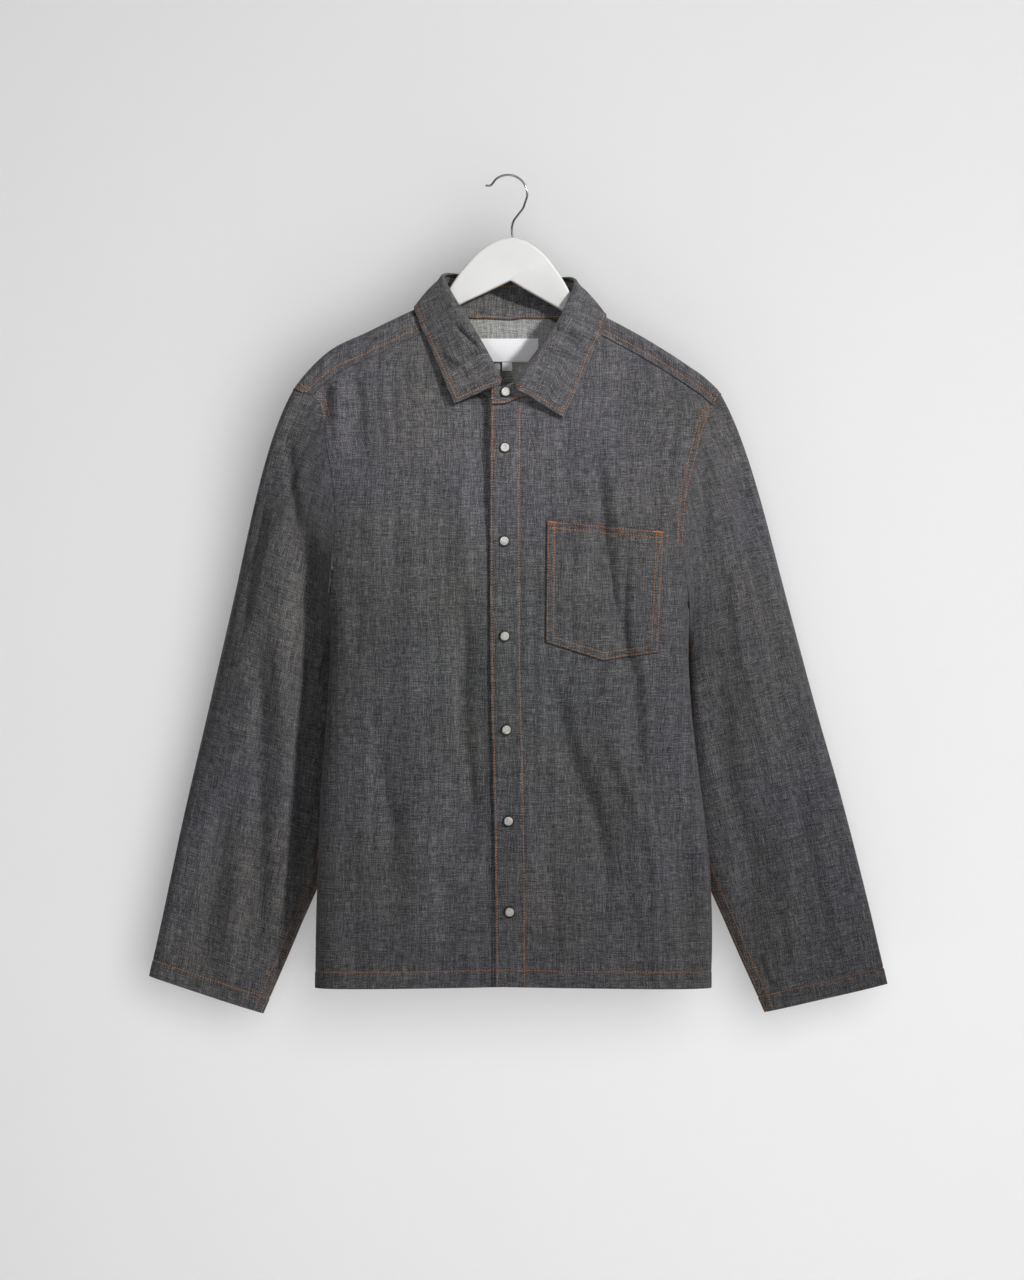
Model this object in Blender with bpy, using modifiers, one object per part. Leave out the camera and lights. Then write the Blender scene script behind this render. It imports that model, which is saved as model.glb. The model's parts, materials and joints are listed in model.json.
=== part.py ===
"""A snap-front overshirt hung on a flat hanger.

Metres, +Z up. The shirt faces -Y, so +X is the viewer's right and the wearer's left. The origin is
the point inside the crest of the hanger's hook, where whatever holds the hanger bears.
"""

import math

import bmesh
import bpy
import numpy as np

# Cloth and the gaps between its pieces
CLOTH = 0.0010              # one layer
DOUBLE = 0.0016             # two layers sewn together, as in the collar and the placket
SEAM = 0.0006               # between the edges of two pieces that a seam joins
LAP = 0.0004                # between the faces of two pieces, one on the other
FOLD = 0.0075               # radius of the shoulder's fold, over the hanger's arm

# The body, as a flattened tube that narrows to the shoulder's fold
ROUNDNESS = 2.8             # exponent of its section, a superellipse
FILL = 0.26                 # drop below the fold at which the tube has its full depth
UNDERARM = -0.478
SIDE_SEAM_ARC = 0.9987      # share of the arc at which a panel ends, just short of the side
HEM = -0.8675
HEM_SAG = 0.005             # how much lower the hem is at the sides

# Half widths and depths of the tube at each height
BODY = (
    # z, right half, left half, front depth, back depth
    (-0.880, 0.2068, 0.2178, 0.050, 0.042),
    (-0.800, 0.2058, 0.2188, 0.049, 0.042),
    (-0.732, 0.2035, 0.2155, 0.048, 0.041),
    (-0.652, 0.2000, 0.2060, 0.047, 0.040),
    (-0.565, 0.1935, 0.1960, 0.048, 0.040),
    (-0.478, 0.1910, 0.1945, 0.050, 0.040),
    (-0.440, 0.1960, 0.1990, 0.050, 0.039),
    (-0.400, 0.2050, 0.2070, 0.049, 0.038),
    (-0.340, 0.2160, 0.2180, 0.047, 0.036),
    (-0.240, 0.2420, 0.2440, 0.044, 0.032),
    (-0.120, 0.2600, 0.2600, 0.042, 0.028),
)

# The shoulder's fold, whose right side of the wearer hangs a little higher
SHOULDER = (
    # x, z of the fold's centre
    (-0.260, -0.288),
    (-0.2475, -0.266),
    (-0.2335, -0.243),
    (-0.220, -0.2245),
    (-0.197, -0.201),
    (-0.149, -0.1755),
    (-0.101, -0.1525),
    (-0.070, -0.139),
    (-0.030, -0.130),
    (0.030, -0.130),
    (0.070, -0.142),
    (0.106, -0.161),
    (0.150, -0.185),
    (0.1945, -0.2135),
    (0.212, -0.226),
    (0.230, -0.2455),
    (0.2415, -0.267),
    (0.260, -0.298),
)

# The armholes: half width at each drop below the fold, measured along the cloth
ARMHOLE = (
    # drop, right, left
    (0.000, 0.2310, 0.2290),
    (0.015, 0.2240, 0.2240),
    (0.035, 0.2100, 0.2170),
    (0.060, 0.2000, 0.2100),
    (0.095, 0.1960, 0.2020),
    (0.140, 0.1890, 0.1920),
    (0.185, 0.1850, 0.1880),
    (0.225, 0.1865, 0.1885),
    (0.262, 0.1890, 0.1920),
    (0.293, 0.1910, 0.1945),
)

# The neck's seam from the centre front over the shoulder to the centre back
NECK = (
    # turn, half width, drop along the cloth (front below 0, back above)
    (0.00, 0.000, -0.131),
    (0.14, 0.028, -0.121),
    (0.30, 0.055, -0.090),
    (0.46, 0.073, -0.048),
    (0.60, 0.081, -0.006),
    (0.72, 0.075, 0.014),
    (0.85, 0.046, 0.0265),
    (1.00, 0.000, 0.034),
)

# The yoke's seams, below the fold along the cloth
YOKE_FRONT_RIGHT = 0.033
YOKE_FRONT_LEFT = 0.026
YOKE_BACK = 0.105
YOKE_BACK_TIP = 0.075
BACK_COLUMNS = 19           # columns of the back, which the yoke's back seam shares
YOKE_BACK_TURN = 0.20       # turn of the neck above the ends of the back seam

# The large folds: each runs from its top to its bottom, on the front or the back
FOLDS = (
    # face, top x, top z, bottom x, bottom z, half width, depth
    ("front", -0.052, -0.440, -0.038, -0.730, 0.022, -0.0050),
    ("front", -0.165, -0.255, -0.158, -0.330, 0.014, -0.0045),
    ("front", -0.130, -0.560, -0.128, -0.740, 0.024, -0.0040),
    ("front", -0.090, -0.600, -0.082, -0.880, 0.030, 0.0035),
    ("front", 0.098, -0.345, 0.150, -0.670, 0.026, -0.0038),
    ("front", 0.048, -0.520, 0.102, -0.740, 0.020, -0.0040),
    ("front", 0.104, -0.570, 0.176, -0.890, 0.026, 0.0045),
    ("front", 0.172, -0.660, 0.196, -0.850, 0.014, -0.0040),
    ("back", -0.060, -0.300, -0.085, -0.800, 0.030, -0.0050),
    ("back", 0.070, -0.280, 0.060, -0.720, 0.026, -0.0050),
    ("back", 0.010, -0.420, -0.010, -0.890, 0.034, 0.0050),
    ("back", -0.140, -0.560, -0.132, -0.890, 0.022, 0.0040),
    ("back", 0.138, -0.520, 0.146, -0.860, 0.024, 0.0040),
)

# The right front falls away beside the placket, down to this height
DIP = 0.009
DIP_FOOT = -0.430

# The fronts' inner edges, which lap at the centre, and their highest straight point
RIGHT_EDGE_X = 0.012
LEFT_EDGE_X = -0.0165
STRAIGHT_TOP = -0.262
LAP_END = 0.050             # x at which the left front is back on the body's own surface
LAP_EASE = 0.030

# The placket and the snaps
PLACKET_WIDTH = 0.0325
PLACKET_TOP = -0.2490
PLACKET_EDGE = (
    # z, x of its free edge
    (-0.890, -0.0132),
    (-0.732, -0.0143),
    (-0.637, -0.0159),
    (-0.557, -0.0180),
    (-0.457, -0.0191),
    (-0.322, -0.0191),
    (-0.236, -0.0178),
)
SNAP_RADIUS = 0.0058
SNAP_HEIGHT = 0.0026
SNAP_INSET = 0.0155         # from the placket's free edge
SNAP_OFF_TAB = 0.0026       # the first snap's foot, out from the tab's foot
TOP_SNAP = -0.2345
LOWER_SNAPS = (-0.2945, -0.3940, -0.4950, -0.5945, -0.6915, -0.7880)

# The pocket's outline on the left front
POCKET_TOP = ((0.0413, -0.3724), (0.1657, -0.3837))
POCKET_FOOT = ((0.0398, -0.5013), (0.1011, -0.5209), (0.1595, -0.5122))

# Each sleeve's sections, from its outer edge to its inner edge, below the sleeve's head
SLEEVE_RIGHT = (
    # run, outer x, outer z, inner x, inner z, half depth, y of the centre
    (0.00, -0.3010, -0.4710, -0.1850, -0.5220, 0.038, 0.040),
    (0.25, -0.3270, -0.5820, -0.1860, -0.6250, 0.032, 0.046),
    (0.50, -0.3526, -0.6925, -0.1960, -0.7320, 0.025, 0.045),
    (0.75, -0.3740, -0.7950, -0.2280, -0.8150, 0.017, 0.041),
    (1.00, -0.3889, -0.8639, -0.2663, -0.9040, 0.009, 0.036),
)
SLEEVE_LEFT = (
    # run, outer x, outer z, inner x, inner z, half depth, y of the centre
    (0.00, 0.3044, -0.4661, 0.1890, -0.5220, 0.038, 0.030),
    (0.25, 0.3344, -0.5765, 0.1930, -0.6250, 0.032, 0.034),
    (0.50, 0.3626, -0.6756, 0.2040, -0.7250, 0.025, 0.034),
    (0.75, 0.3890, -0.7800, 0.2390, -0.8130, 0.017, 0.031),
    (1.00, 0.4102, -0.8715, 0.2786, -0.9018, 0.009, 0.028),
)
HEAD_SWELL = 0.75           # how far the sleeve's head swings out before it turns down
HEAD_DROP = 0.293           # the armhole's length below the fold, along the cloth
HEAD_FOOT = 0.260           # where the ring turns in under the arm
SLEEVE_FOLDS = (
    # side, turn round the sleeve in degrees from its outer edge over the front, first run, last
    # run, half width in degrees, depth
    (-1, 70, 0.30, 1.05, 26, -0.0050),
    (-1, 118, 0.20, 0.85, 22, 0.0040),
    (-1, 250, 0.10, 0.80, 30, -0.0050),
    (1, 60, 0.05, 0.60, 24, -0.0045),
    (1, 96, 0.45, 1.05, 26, -0.0050),
    (1, 290, 0.15, 0.90, 30, -0.0050),
)

# The collar, from the viewer's left end round the back of the neck to the right end: its roll,
# and its outer edge as x, the drop along the body's cloth and the height above that cloth
COLLAR = (
    # turn, roll x, roll y, roll z, edge x, edge drop, edge height
    (0.00, -0.0066, -0.0420, -0.2230, -0.0568, -0.1262, 0.0095),
    (0.10, -0.0240, -0.0370, -0.1890, -0.0705, -0.0880, 0.0070),
    (0.20, -0.0430, -0.0270, -0.1560, -0.0850, -0.0473, 0.0045),
    (0.29, -0.0605, -0.0140, -0.1270, -0.0955, -0.0183, 0.0040),
    (0.36, -0.0680, 0.0040, -0.1070, -0.0970, 0.0000, 0.0040),
    (0.43, -0.0440, 0.0220, -0.1060, -0.0640, 0.0230, 0.0060),
    (0.50, 0.0010, 0.0290, -0.1090, 0.0010, 0.0348, 0.0080),
    (0.57, 0.0460, 0.0230, -0.1090, 0.0680, 0.0225, 0.0060),
    (0.64, 0.0700, 0.0040, -0.1120, 0.1010, 0.0000, 0.0040),
    (0.71, 0.0645, -0.0140, -0.1350, 0.1020, -0.0190, 0.0040),
    (0.80, 0.0455, -0.0270, -0.1720, 0.0880, -0.0580, 0.0040),
    (0.90, 0.0240, -0.0370, -0.2010, 0.0755, -0.0990, 0.0045),
    (1.00, 0.0068, -0.0440, -0.2282, 0.0582, -0.1372, 0.0060),
)
STAND_BELOW_ROLL = 0.0035   # the stand's top edge, under the collar's fold
STAND_INSIDE = 0.0029       # the stand's foot, inside the neck's seam
STAND_LAP = 0.0022          # how far its two ends stand apart where they lap
STAND_TAB_FOOT = -0.2475
STAND_END = 0.0178          # how far the tab laps past the centre front
STAND_TAB_HEIGHT = 0.0190
TAB_OUT = 0.0034            # the tab's foot, out from the body's front

# The label inside the back neck, left bare, and the tab below it
LABEL_WIDTH = 0.0640
LABEL_HEIGHT = 0.0250
LABEL_TOP = -0.1740
TAB_WIDTH = 0.0105
TAB_HEIGHT = 0.0090

# The hanger, whose left end hangs lower
HANGER_THICK = 0.0095
HANGER_EDGE = 0.0022        # radius of its rounded edges
HANGER_TILT = math.radians(2.4)
HANGER_TOP = -0.0663
HANGER_HALF = (
    # x, z of the outline from the dome's top to the arm's end and back to the middle
    (0.0000, 0.0000),
    (0.0125, -0.0026),
    (0.0256, -0.0094),
    (0.0350, -0.0168),
    (0.0455, -0.0285),
    (0.0570, -0.0440),
    (0.0640, -0.0555),
    (0.0725, -0.0740),
    (0.0840, -0.0890),
    (0.1030, -0.1010),
    (0.1480, -0.1215),
    (0.1850, -0.1445),
    (0.1990, -0.1580),
    (0.2050, -0.1690),
    (0.2020, -0.1780),
    (0.1930, -0.1760),
    (0.1500, -0.1455),
    (0.1000, -0.1090),
    (0.0560, -0.0765),
    (0.0250, -0.0600),
    (0.0120, -0.0531),
    (0.0000, -0.0467),
)
HANGER_MIDDLE = 0.0045

# The hook: a straight stem, a reverse bend and most of a circle, ending in a short flick
WIRE = 0.0012               # radius
HOOK_RADIUS = 0.0206        # of the wire's centre line
STEM_DEPTH = 0.020          # how far the stem goes into the hanger
STEM_BORE = 0.0016
HOOK_LOWER = (
    # x, z of the stem and the reverse bend, upward
    (0.0045, -0.0530),
    (0.0056, -0.0490),
    (0.0112, -0.0412),
    (0.0166, -0.0338),
)
HOOK_TIP = ((-0.0186, -0.0100), (-0.0236, -0.0102))

COLOURS = {
    # colour, roughness, metallic
    "cloth": ((0.075, 0.078, 0.088), 0.90, 0.0),
    "label": ((0.80, 0.80, 0.80), 0.70, 0.0),
    "hanger": ((0.78, 0.78, 0.76), 0.35, 0.0),
    "hook": ((0.72, 0.72, 0.74), 0.18, 1.0),
    "snap": ((0.62, 0.62, 0.58), 0.30, 0.2),
}


def curve(table, key):
    """Reads the columns after the first at each key, on a smooth curve through the rows."""
    rows = np.array(table, dtype=float)
    keys, values = rows[:, 0], rows[:, 1:]
    slopes = np.gradient(values, keys, axis=0)
    key = np.clip(np.asarray(key, dtype=float), keys[0], keys[-1])
    place = np.clip(np.searchsorted(keys, key) - 1, 0, len(keys) - 2)
    span = (keys[place + 1] - keys[place])[..., None]
    u = (key[..., None] - keys[place][..., None]) / span
    start, end = values[place], values[place + 1]
    bend = slopes[place] * span * u * (1 - u) ** 2 - slopes[place + 1] * span * u ** 2 * (1 - u)
    return start + (end - start) * u * u * (3 - 2 * u) + bend


def lerp(a, b, u):
    return a + (b - a) * u


def ease(u):
    u = np.clip(u, 0, 1)
    return u * u * (3 - 2 * u)


def quarter_section():
    """The unit superellipse from the centre to the side, by its length along a wide tube."""
    angle = np.linspace(0, math.pi / 2, 3000)
    across = np.sin(angle) ** (2 / ROUNDNESS)
    deep = np.cos(angle) ** (2 / ROUNDNESS)
    aspect = 4.2
    length = np.concatenate(([0], np.cumsum(np.hypot(np.diff(across) * aspect, np.diff(deep)))))
    return length / length[-1], across


ARC, ACROSS = quarter_section()


def half_width(x, z):
    right, left = np.moveaxis(curve(BODY, z)[..., :2], -1, 0)
    return np.where(np.asarray(x) < 0, right, left)


def x_at(arc, z):
    """x of the point at a share of the arc from the centre to a side, below 0 on the right side."""
    return np.sign(arc) * np.interp(np.abs(arc), ARC, ACROSS) * half_width(arc, z)


def arc_at(x, z):
    """The share of the arc from the centre to a side at which x lies, below 0 on the right side."""
    return np.sign(x) * np.interp(np.abs(x) / half_width(x, z), ACROSS, ARC)


def fold_height(face, x, z):
    """How far the large folds push the cloth out at a point of the front or the back."""
    total = np.zeros(np.broadcast(x, z).shape)
    for side, x0, z0, x1, z1, width, depth in FOLDS:
        if side != face:
            continue
        run = np.array((x1 - x0, z1 - z0))
        length = math.hypot(*run)
        along = ((x - x0) * run[0] + (z - z0) * run[1]) / length ** 2
        off = ((x - x0) * run[1] - (z - z0) * run[0]) / length
        ends = ease(along / 0.3) * ease((1 - along) / 0.3)
        total = total + depth * np.exp(-(off / width) ** 2) * ends
    return total


def body(face, x, z):
    """Points of the tube's front or back at x and z."""
    x, z = np.broadcast_arrays(np.asarray(x, dtype=float), np.asarray(z, dtype=float))
    sizes = curve(BODY, z)
    depth = sizes[..., 2] if face == "front" else sizes[..., 3]
    ratio = np.clip(np.abs(x) / half_width(x, z), 0, 1)
    fullness = (1 - ratio ** ROUNDNESS) ** (1 / ROUNDNESS)
    drop = np.clip((curve(SHOULDER, x)[..., 0] - z) / FILL, 0, 1)
    drop = drop * drop * 1.06 / (drop + 0.06)
    grown = 1 - (1 - drop) ** 2.2
    out = FOLD + (depth * fullness - FOLD) * grown
    out = out + fold_height(face, x, z) * fullness
    return np.stack((x, -out if face == "front" else out, z), axis=-1)


def on_body(x, drop):
    """A point at x and a drop along the cloth from the fold's top: front below 0, back above."""
    x, drop = np.broadcast_arrays(np.asarray(x, dtype=float), np.asarray(drop, dtype=float))
    quarter = math.pi / 2 * FOLD
    top = curve(SHOULDER, x)[..., 0]
    below = np.clip(np.abs(drop) - quarter, 0, None)
    front, back = body("front", x, top - below), body("back", x, top - below)
    angle = np.clip(drop, -quarter, quarter) / FOLD
    over = np.stack((x, FOLD * np.sin(angle), top + FOLD * np.cos(angle)), axis=-1)
    flat = np.where((drop < 0)[..., None], front, back)
    return np.where((np.abs(drop) <= quarter)[..., None], over, flat)


def level_at(x, drop):
    """The height of a point at x and a drop along the cloth, on the front or the back."""
    return curve(SHOULDER, x)[..., 0] - np.abs(drop) + math.pi / 2 * FOLD


def off_body(x, drop, out):
    """A point above the body's cloth, straight out from its surface."""
    step = 0.002
    across = on_body(x + step, drop) - on_body(x - step, drop)
    down = on_body(x, drop + step) - on_body(x, drop - step)
    normal = np.cross(across, down)
    normal /= np.linalg.norm(normal, axis=-1, keepdims=True)
    return on_body(x, drop) + normal * out


def armhole_x(side, drop):
    right, left = np.moveaxis(curve(ARMHOLE, np.abs(drop)), -1, 0)
    return side * (right if side < 0 else left)


def moved_out(points, distance):
    """A grid of points moved along its own outward normals."""
    down = np.gradient(points, axis=0)
    over = np.gradient(points, axis=1)
    normal = np.cross(down, over)
    normal /= np.linalg.norm(normal, axis=-1, keepdims=True)
    return points + normal * distance


def material(name, kind):
    colour, roughness, metallic = COLOURS[kind]
    made = bpy.data.materials.new(name)
    made.use_nodes = True
    shader = made.node_tree.nodes["Principled BSDF"]
    shader.inputs["Base Color"].default_value = (*colour, 1)
    shader.inputs["Roughness"].default_value = roughness
    shader.inputs["Metallic"].default_value = metallic
    return made


def named_object(name, mesh, kind, collection):
    mesh.materials.append(material(name, kind))
    mesh.shade_smooth()
    mesh.set_sharp_from_angle(angle=math.radians(40))
    thing = bpy.data.objects.new(name, mesh)
    collection.objects.link(thing)
    return thing


def sheet(name, points, thickness, collection, closed=False, kind="cloth"):
    """A wall of cloth on a grid of points whose rows run down and whose columns run to +X."""
    rows, columns = points.shape[:2]
    grid = bmesh.new()
    corners = [[grid.verts.new(point) for point in row] for row in points]
    last = columns if closed else columns - 1
    for i in range(rows - 1):
        for j in range(last):
            k = (j + 1) % columns
            grid.faces.new((corners[i][j], corners[i + 1][j], corners[i + 1][k], corners[i][k]))
    mesh = bpy.data.meshes.new(name)
    grid.to_mesh(mesh)
    grid.free()
    made = named_object(name, mesh, kind, collection)
    wall = made.modifiers.new("cloth wall", "SOLIDIFY")
    wall.thickness = thickness
    wall.offset = 0
    return made


def cloth_row(face, ends, count, follow):
    """A row between two ends, each at an arc and a height; follow bends it like the shoulder."""
    (arc0, z0), (arc1, z1) = ends
    share = np.linspace(0, 1, count)
    arc = lerp(arc0, arc1, share)
    straight = lerp(z0, z1, share)
    z = straight
    for _ in range(4):
        line = curve(SHOULDER, x_at(arc, z))[..., 0]
        z = straight + (line - lerp(line[0], line[-1], share)) * follow
    return body(face, x_at(arc, z), z)


def front_edges(side):
    """A front panel's inner edge, with the neck, and its outer edge, with the armhole."""
    seam = (YOKE_FRONT_RIGHT if side < 0 else YOKE_FRONT_LEFT) + 1.5 * SEAM
    inner_x = RIGHT_EDGE_X if side < 0 else LEFT_EDGE_X
    neck = curve(NECK, np.linspace(0.10, 0.46, 5))
    neck_x = side * (neck[:, 0] + 0.002)
    neck_drop = np.minimum(neck[:, 1] - 0.002, -seam)
    neck_drop[-1] = -seam
    inner = [(arc_at(inner_x, z), z) for z in np.linspace(HEM, STRAIGHT_TOP, 19)]
    for x, drop in zip(neck_x, neck_drop):
        z = level_at(x, drop)
        inner.append((arc_at(x, z), z))
    outer = [(side * SIDE_SEAM_ARC, z) for z in np.linspace(HEM - HEM_SAG, UNDERARM, 13)]
    for drop in np.linspace(0.262, seam, len(inner) - len(outer)):
        x = armhole_x(side, drop)
        z = level_at(x, drop)
        outer.append((arc_at(x, z), z))
    return inner, outer


def front_panel(name, side, columns, collection):
    inner, outer = front_edges(side)
    rows = []
    for number, ends in enumerate(zip(inner, outer)):
        follow = ease((number - 12) / (len(inner) - 13))
        rows.append(over_lap(cloth_row("front", ends, columns + 1, follow), side))
    points = np.array(rows[::-1])
    if side < 0:
        points = points[:, ::-1]
        points[..., 1] += DIP * beside_placket(points[..., 0], points[..., 2])
    return sheet(name, points, CLOTH, collection)


def beside_placket(x, z):
    """1 where the right front falls away beside the placket's upper stretch, fading to 0."""
    return ease((-0.012 - x) / 0.012) * ease((x + 0.062) / 0.035) * ease((z - DIP_FOOT) / 0.15)


def over_lap(points, side):
    """Lifts the left front over the right front near the centre, where it carries the placket."""
    lift = 0.0 if side < 0 else CLOTH + LAP
    out = lift * ease((LAP_END - points[..., 0]) / LAP_EASE)
    return points - np.stack((out * 0, out, out * 0), axis=-1)


def yoke_back_drop(share):
    """The yoke's back seam at a share of the way from the centre to an armhole."""
    return lerp(YOKE_BACK, YOKE_BACK_TIP, np.abs(share) ** 1.6)


def back_panel(collection):
    """The back between the side seams, up to the yoke's seam and the armholes."""
    rows = []
    for z in np.linspace(HEM - HEM_SAG, UNDERARM, 12):
        arc = np.linspace(-SIDE_SEAM_ARC, SIDE_SEAM_ARC, BACK_COLUMNS)
        level = z + HEM_SAG * (1 - arc ** 2) * ease((z - UNDERARM) / (HEM - UNDERARM))
        rows.append(body("back", x_at(arc, level), level))
    share = np.linspace(-1, 1, BACK_COLUMNS)
    tips = np.linspace(0.262, YOKE_BACK_TIP + SEAM, 9)
    for number, drop in enumerate(tips):
        follow = ease((number + 1) / len(tips))
        left, right = armhole_x(-1, drop), armhole_x(1, drop)
        x = np.where(share < 0, -left, right) * share
        seam = level_at(x, yoke_back_drop(share) + drop - YOKE_BACK_TIP)
        flat = lerp(level_at(left, drop), level_at(right, drop), (share + 1) / 2)
        level = lerp(flat, seam, follow)
        rows.append(body("back", x, level))
    return sheet("back", np.array(rows)[:, ::-1], CLOTH, collection)


def neck_point(turn, gap=0.0):
    """x and drop on the neck's seam, or a gap outside it along the cloth.

    turn is -1 at the centre front, seen from the right side, 0 at the centre back and 1 at the
    centre front again, seen from the left side.
    """
    step = 0.01
    way = min(max(abs(turn), 0.0), 1 - step)
    side = -1 if turn < 0 else 1
    point = curve(NECK, 1 - abs(turn))
    ahead = curve(NECK, 1 - way - step) - curve(NECK, 1 - way)
    normal = np.array((-ahead[1], ahead[0])) / np.linalg.norm(ahead)
    x, drop = point + normal * gap
    return side * x, drop


def yoke(collection):
    """One grid round the neck, from the right front seam behind the neck to the left front seam."""
    rim = []
    for share in np.linspace(-1, 1, BACK_COLUMNS):
        side = -1 if share < 0 else 1
        rim.append((armhole_x(side, YOKE_BACK_TIP) * abs(share), yoke_back_drop(share)))
    turns = list(np.linspace(-YOKE_BACK_TURN, YOKE_BACK_TURN, BACK_COLUMNS))
    quarter = math.pi / 2 * FOLD
    for side, front in ((-1, YOKE_FRONT_RIGHT), (1, YOKE_FRONT_LEFT)):
        drops = (0.050, 0.028, quarter, quarter / 3, -quarter / 3, -quarter, -front)
        tip = [(armhole_x(side, drop), drop) for drop in drops]
        neck_drops = [min(drop, 0.010 + drop / 4) for drop in drops]
        tip_turns = side * (1 - np.interp(neck_drops, *np.array(NECK)[:, (2, 0)].T))
        rim = tip[::-1] + rim if side < 0 else rim + tip
        turns = list(tip_turns[::-1]) + turns if side < 0 else turns + list(tip_turns)
    columns = []
    share = np.linspace(0, 1, 9)
    for turn, (x1, drop1) in zip(turns, rim):
        x0, drop0 = neck_point(turn, 0.0012)
        if drop1 < 0.010:
            drop0 = drop1
        columns.append(on_body(lerp(x0, x1, share), lerp(drop0, drop1, share)))
    points = np.swapaxes(np.array(columns), 0, 1)
    return sheet("yoke", points[:, ::-1], CLOTH, collection)


def sleeve_fold_height(side, run, angle):
    """How far the sleeve's large folds push its cloth out, by the turn round the sleeve."""
    total = np.zeros(len(angle))
    for where, turn, first, last, width, depth in SLEEVE_FOLDS:
        if where == side:
            along = (run - first) / (last - first)
            ends = ease(along / 0.3) * ease((1 - along) / 0.25)
            total += depth * ends * np.exp(-((np.degrees(angle) - turn) / width) ** 2)
    return total


def sleeve(name, side, table, collection):
    """A tube from the armhole's ring to the hem, its head blended into its first full section."""
    around = 18
    angle = np.arange(around) / around * 2 * math.pi
    seam_angle = math.pi
    share = np.abs((angle + seam_angle) % (2 * math.pi) - seam_angle) / math.pi
    drop = share * HEAD_DROP * np.where(angle <= math.pi, -1, 1)
    x = armhole_x(side, drop) + side * (SEAM + CLOTH)
    ring = on_body(x, drop)
    level = np.abs(drop) > HEAD_FOOT
    bottom = np.abs(drop[level])
    ring[level, 0] = side * half_width(side, UNDERARM)
    ring[level, 1] *= np.clip((0.300 - bottom) / 0.05, 0, 1)
    ring[level, 0] += side * (SEAM + CLOTH)
    ring[level, 2] -= 0.0006

    def section(run):
        outer_x, outer_z, inner_x, inner_z, deep, centre_y = curve(table, run)
        outer = np.array((outer_x, centre_y, outer_z))
        inner = np.array((inner_x, centre_y, inner_z))
        cosine, sine = np.cos(angle)[:, None], np.sin(angle)[:, None]
        middle, arm = (outer + inner) / 2, (outer - inner) / 2
        out = deep + sleeve_fold_height(side, run, angle)[:, None]
        flat = np.abs(cosine) ** 0.9 * np.sign(cosine)
        return middle + arm * flat + np.array((0, -1, 0)) * sine * out

    first = section(0.0)
    axis = section(0.05) - first
    axis /= np.linalg.norm(axis, axis=-1, keepdims=True)
    distance = np.linalg.norm(first - ring, axis=-1, keepdims=True)
    high = (1 - share)[:, None]
    outward = high * np.array((side * 0.5, 0, -0.87)) + (1 - high) * np.array((side * 0.5, 0.1, -0.9))
    outward /= np.linalg.norm(outward, axis=-1, keepdims=True)
    rows = []
    for u in np.linspace(0, 1, 8):
        bend = outward * HEAD_SWELL * u * (1 - u) ** 2 - axis * u * u * (1 - u)
        rows.append(ring + (first - ring) * u * u * (3 - 2 * u) + bend * distance)
    rows += [section(run) for run in np.linspace(0, 1, 12)[1:]]
    points = np.array(rows)
    if side > 0:
        points = points[:, ::-1]
    return sheet(name, points, CLOTH, collection, closed=True)


def strip(left_edge, width, top, foot, rows, columns):
    """A grid on the left front between two heights, from its left edge across a width."""
    z = np.linspace(top, foot, rows)[:, None]
    x = left_edge(z) + np.linspace(0, width, columns)[None, :]
    return over_lap(body("front", x, z), 1)


def placket(collection):
    def edge(z):
        return curve(PLACKET_EDGE, z)[..., 0]
    points = strip(edge, PLACKET_WIDTH, PLACKET_TOP, HEM, 24, 4)
    points = moved_out(points, (CLOTH + DOUBLE) / 2 + LAP)
    return sheet("placket", points, DOUBLE, collection)


def pocket(collection):
    (left_x, left_z), (right_x, right_z) = POCKET_TOP
    foot = np.array(POCKET_FOOT)
    share = np.linspace(0, 1, 9)
    foot_x = np.interp(share, (0, 0.5, 1), foot[:, 0])
    foot_z = np.interp(share, (0, 0.5, 1), foot[:, 1])
    rows = []
    for down in np.linspace(0, 1, 8):
        x = lerp(lerp(left_x, right_x, share), foot_x, down)
        z = lerp(lerp(left_z, right_z, share), foot_z, down)
        rows.append(over_lap(body("front", x, z), 1))
    points = moved_out(np.array(rows), CLOTH + 2 * LAP)
    return sheet("pocket", points, CLOTH, collection)


def collar_stand(collection):
    """The band from the neck's seam up to just under the roll, its left end lapping over the right."""
    turns = np.linspace(-0.97, 0.93, 33)
    columns = []
    for turn in turns:
        x, drop = neck_point(turn, -STAND_INSIDE)
        base = off_body(x, drop, CLOTH)
        roll = curve(COLLAR, (turn + 1) / 2)[:3]
        top = roll + np.array((0, 0.0006, -STAND_BELOW_ROLL))
        lap = STAND_LAP * ease((abs(turn) - 0.75) / 0.2)
        if turn < 0:
            base[1] += lap * 0.2
            top[1] += lap
        else:
            base[1] -= lap
            top[1] -= lap * 0.2
        columns.append([lerp(top, base, share) for share in (0, 0.35, 0.7, 1)])
    for out in (0.35, 0.7, 0.92, 1.0):
        x = lerp(0.004, -STAND_END, out)
        height = STAND_TAB_HEIGHT * math.sqrt(1 - max(out - 0.5, 0) ** 2 * 2.2)
        front = body("front", 0.0, STAND_TAB_FOOT)[1] - TAB_OUT
        base = np.array((x, front, STAND_TAB_FOOT))
        top = base + np.array((0, -0.0010, height))
        columns.append([lerp(top, base, share) for share in (0, 0.35, 0.7, 1)])
    points = np.swapaxes(np.array(columns), 0, 1)
    return sheet("collar_stand", points[:, ::-1], DOUBLE, collection)


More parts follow.
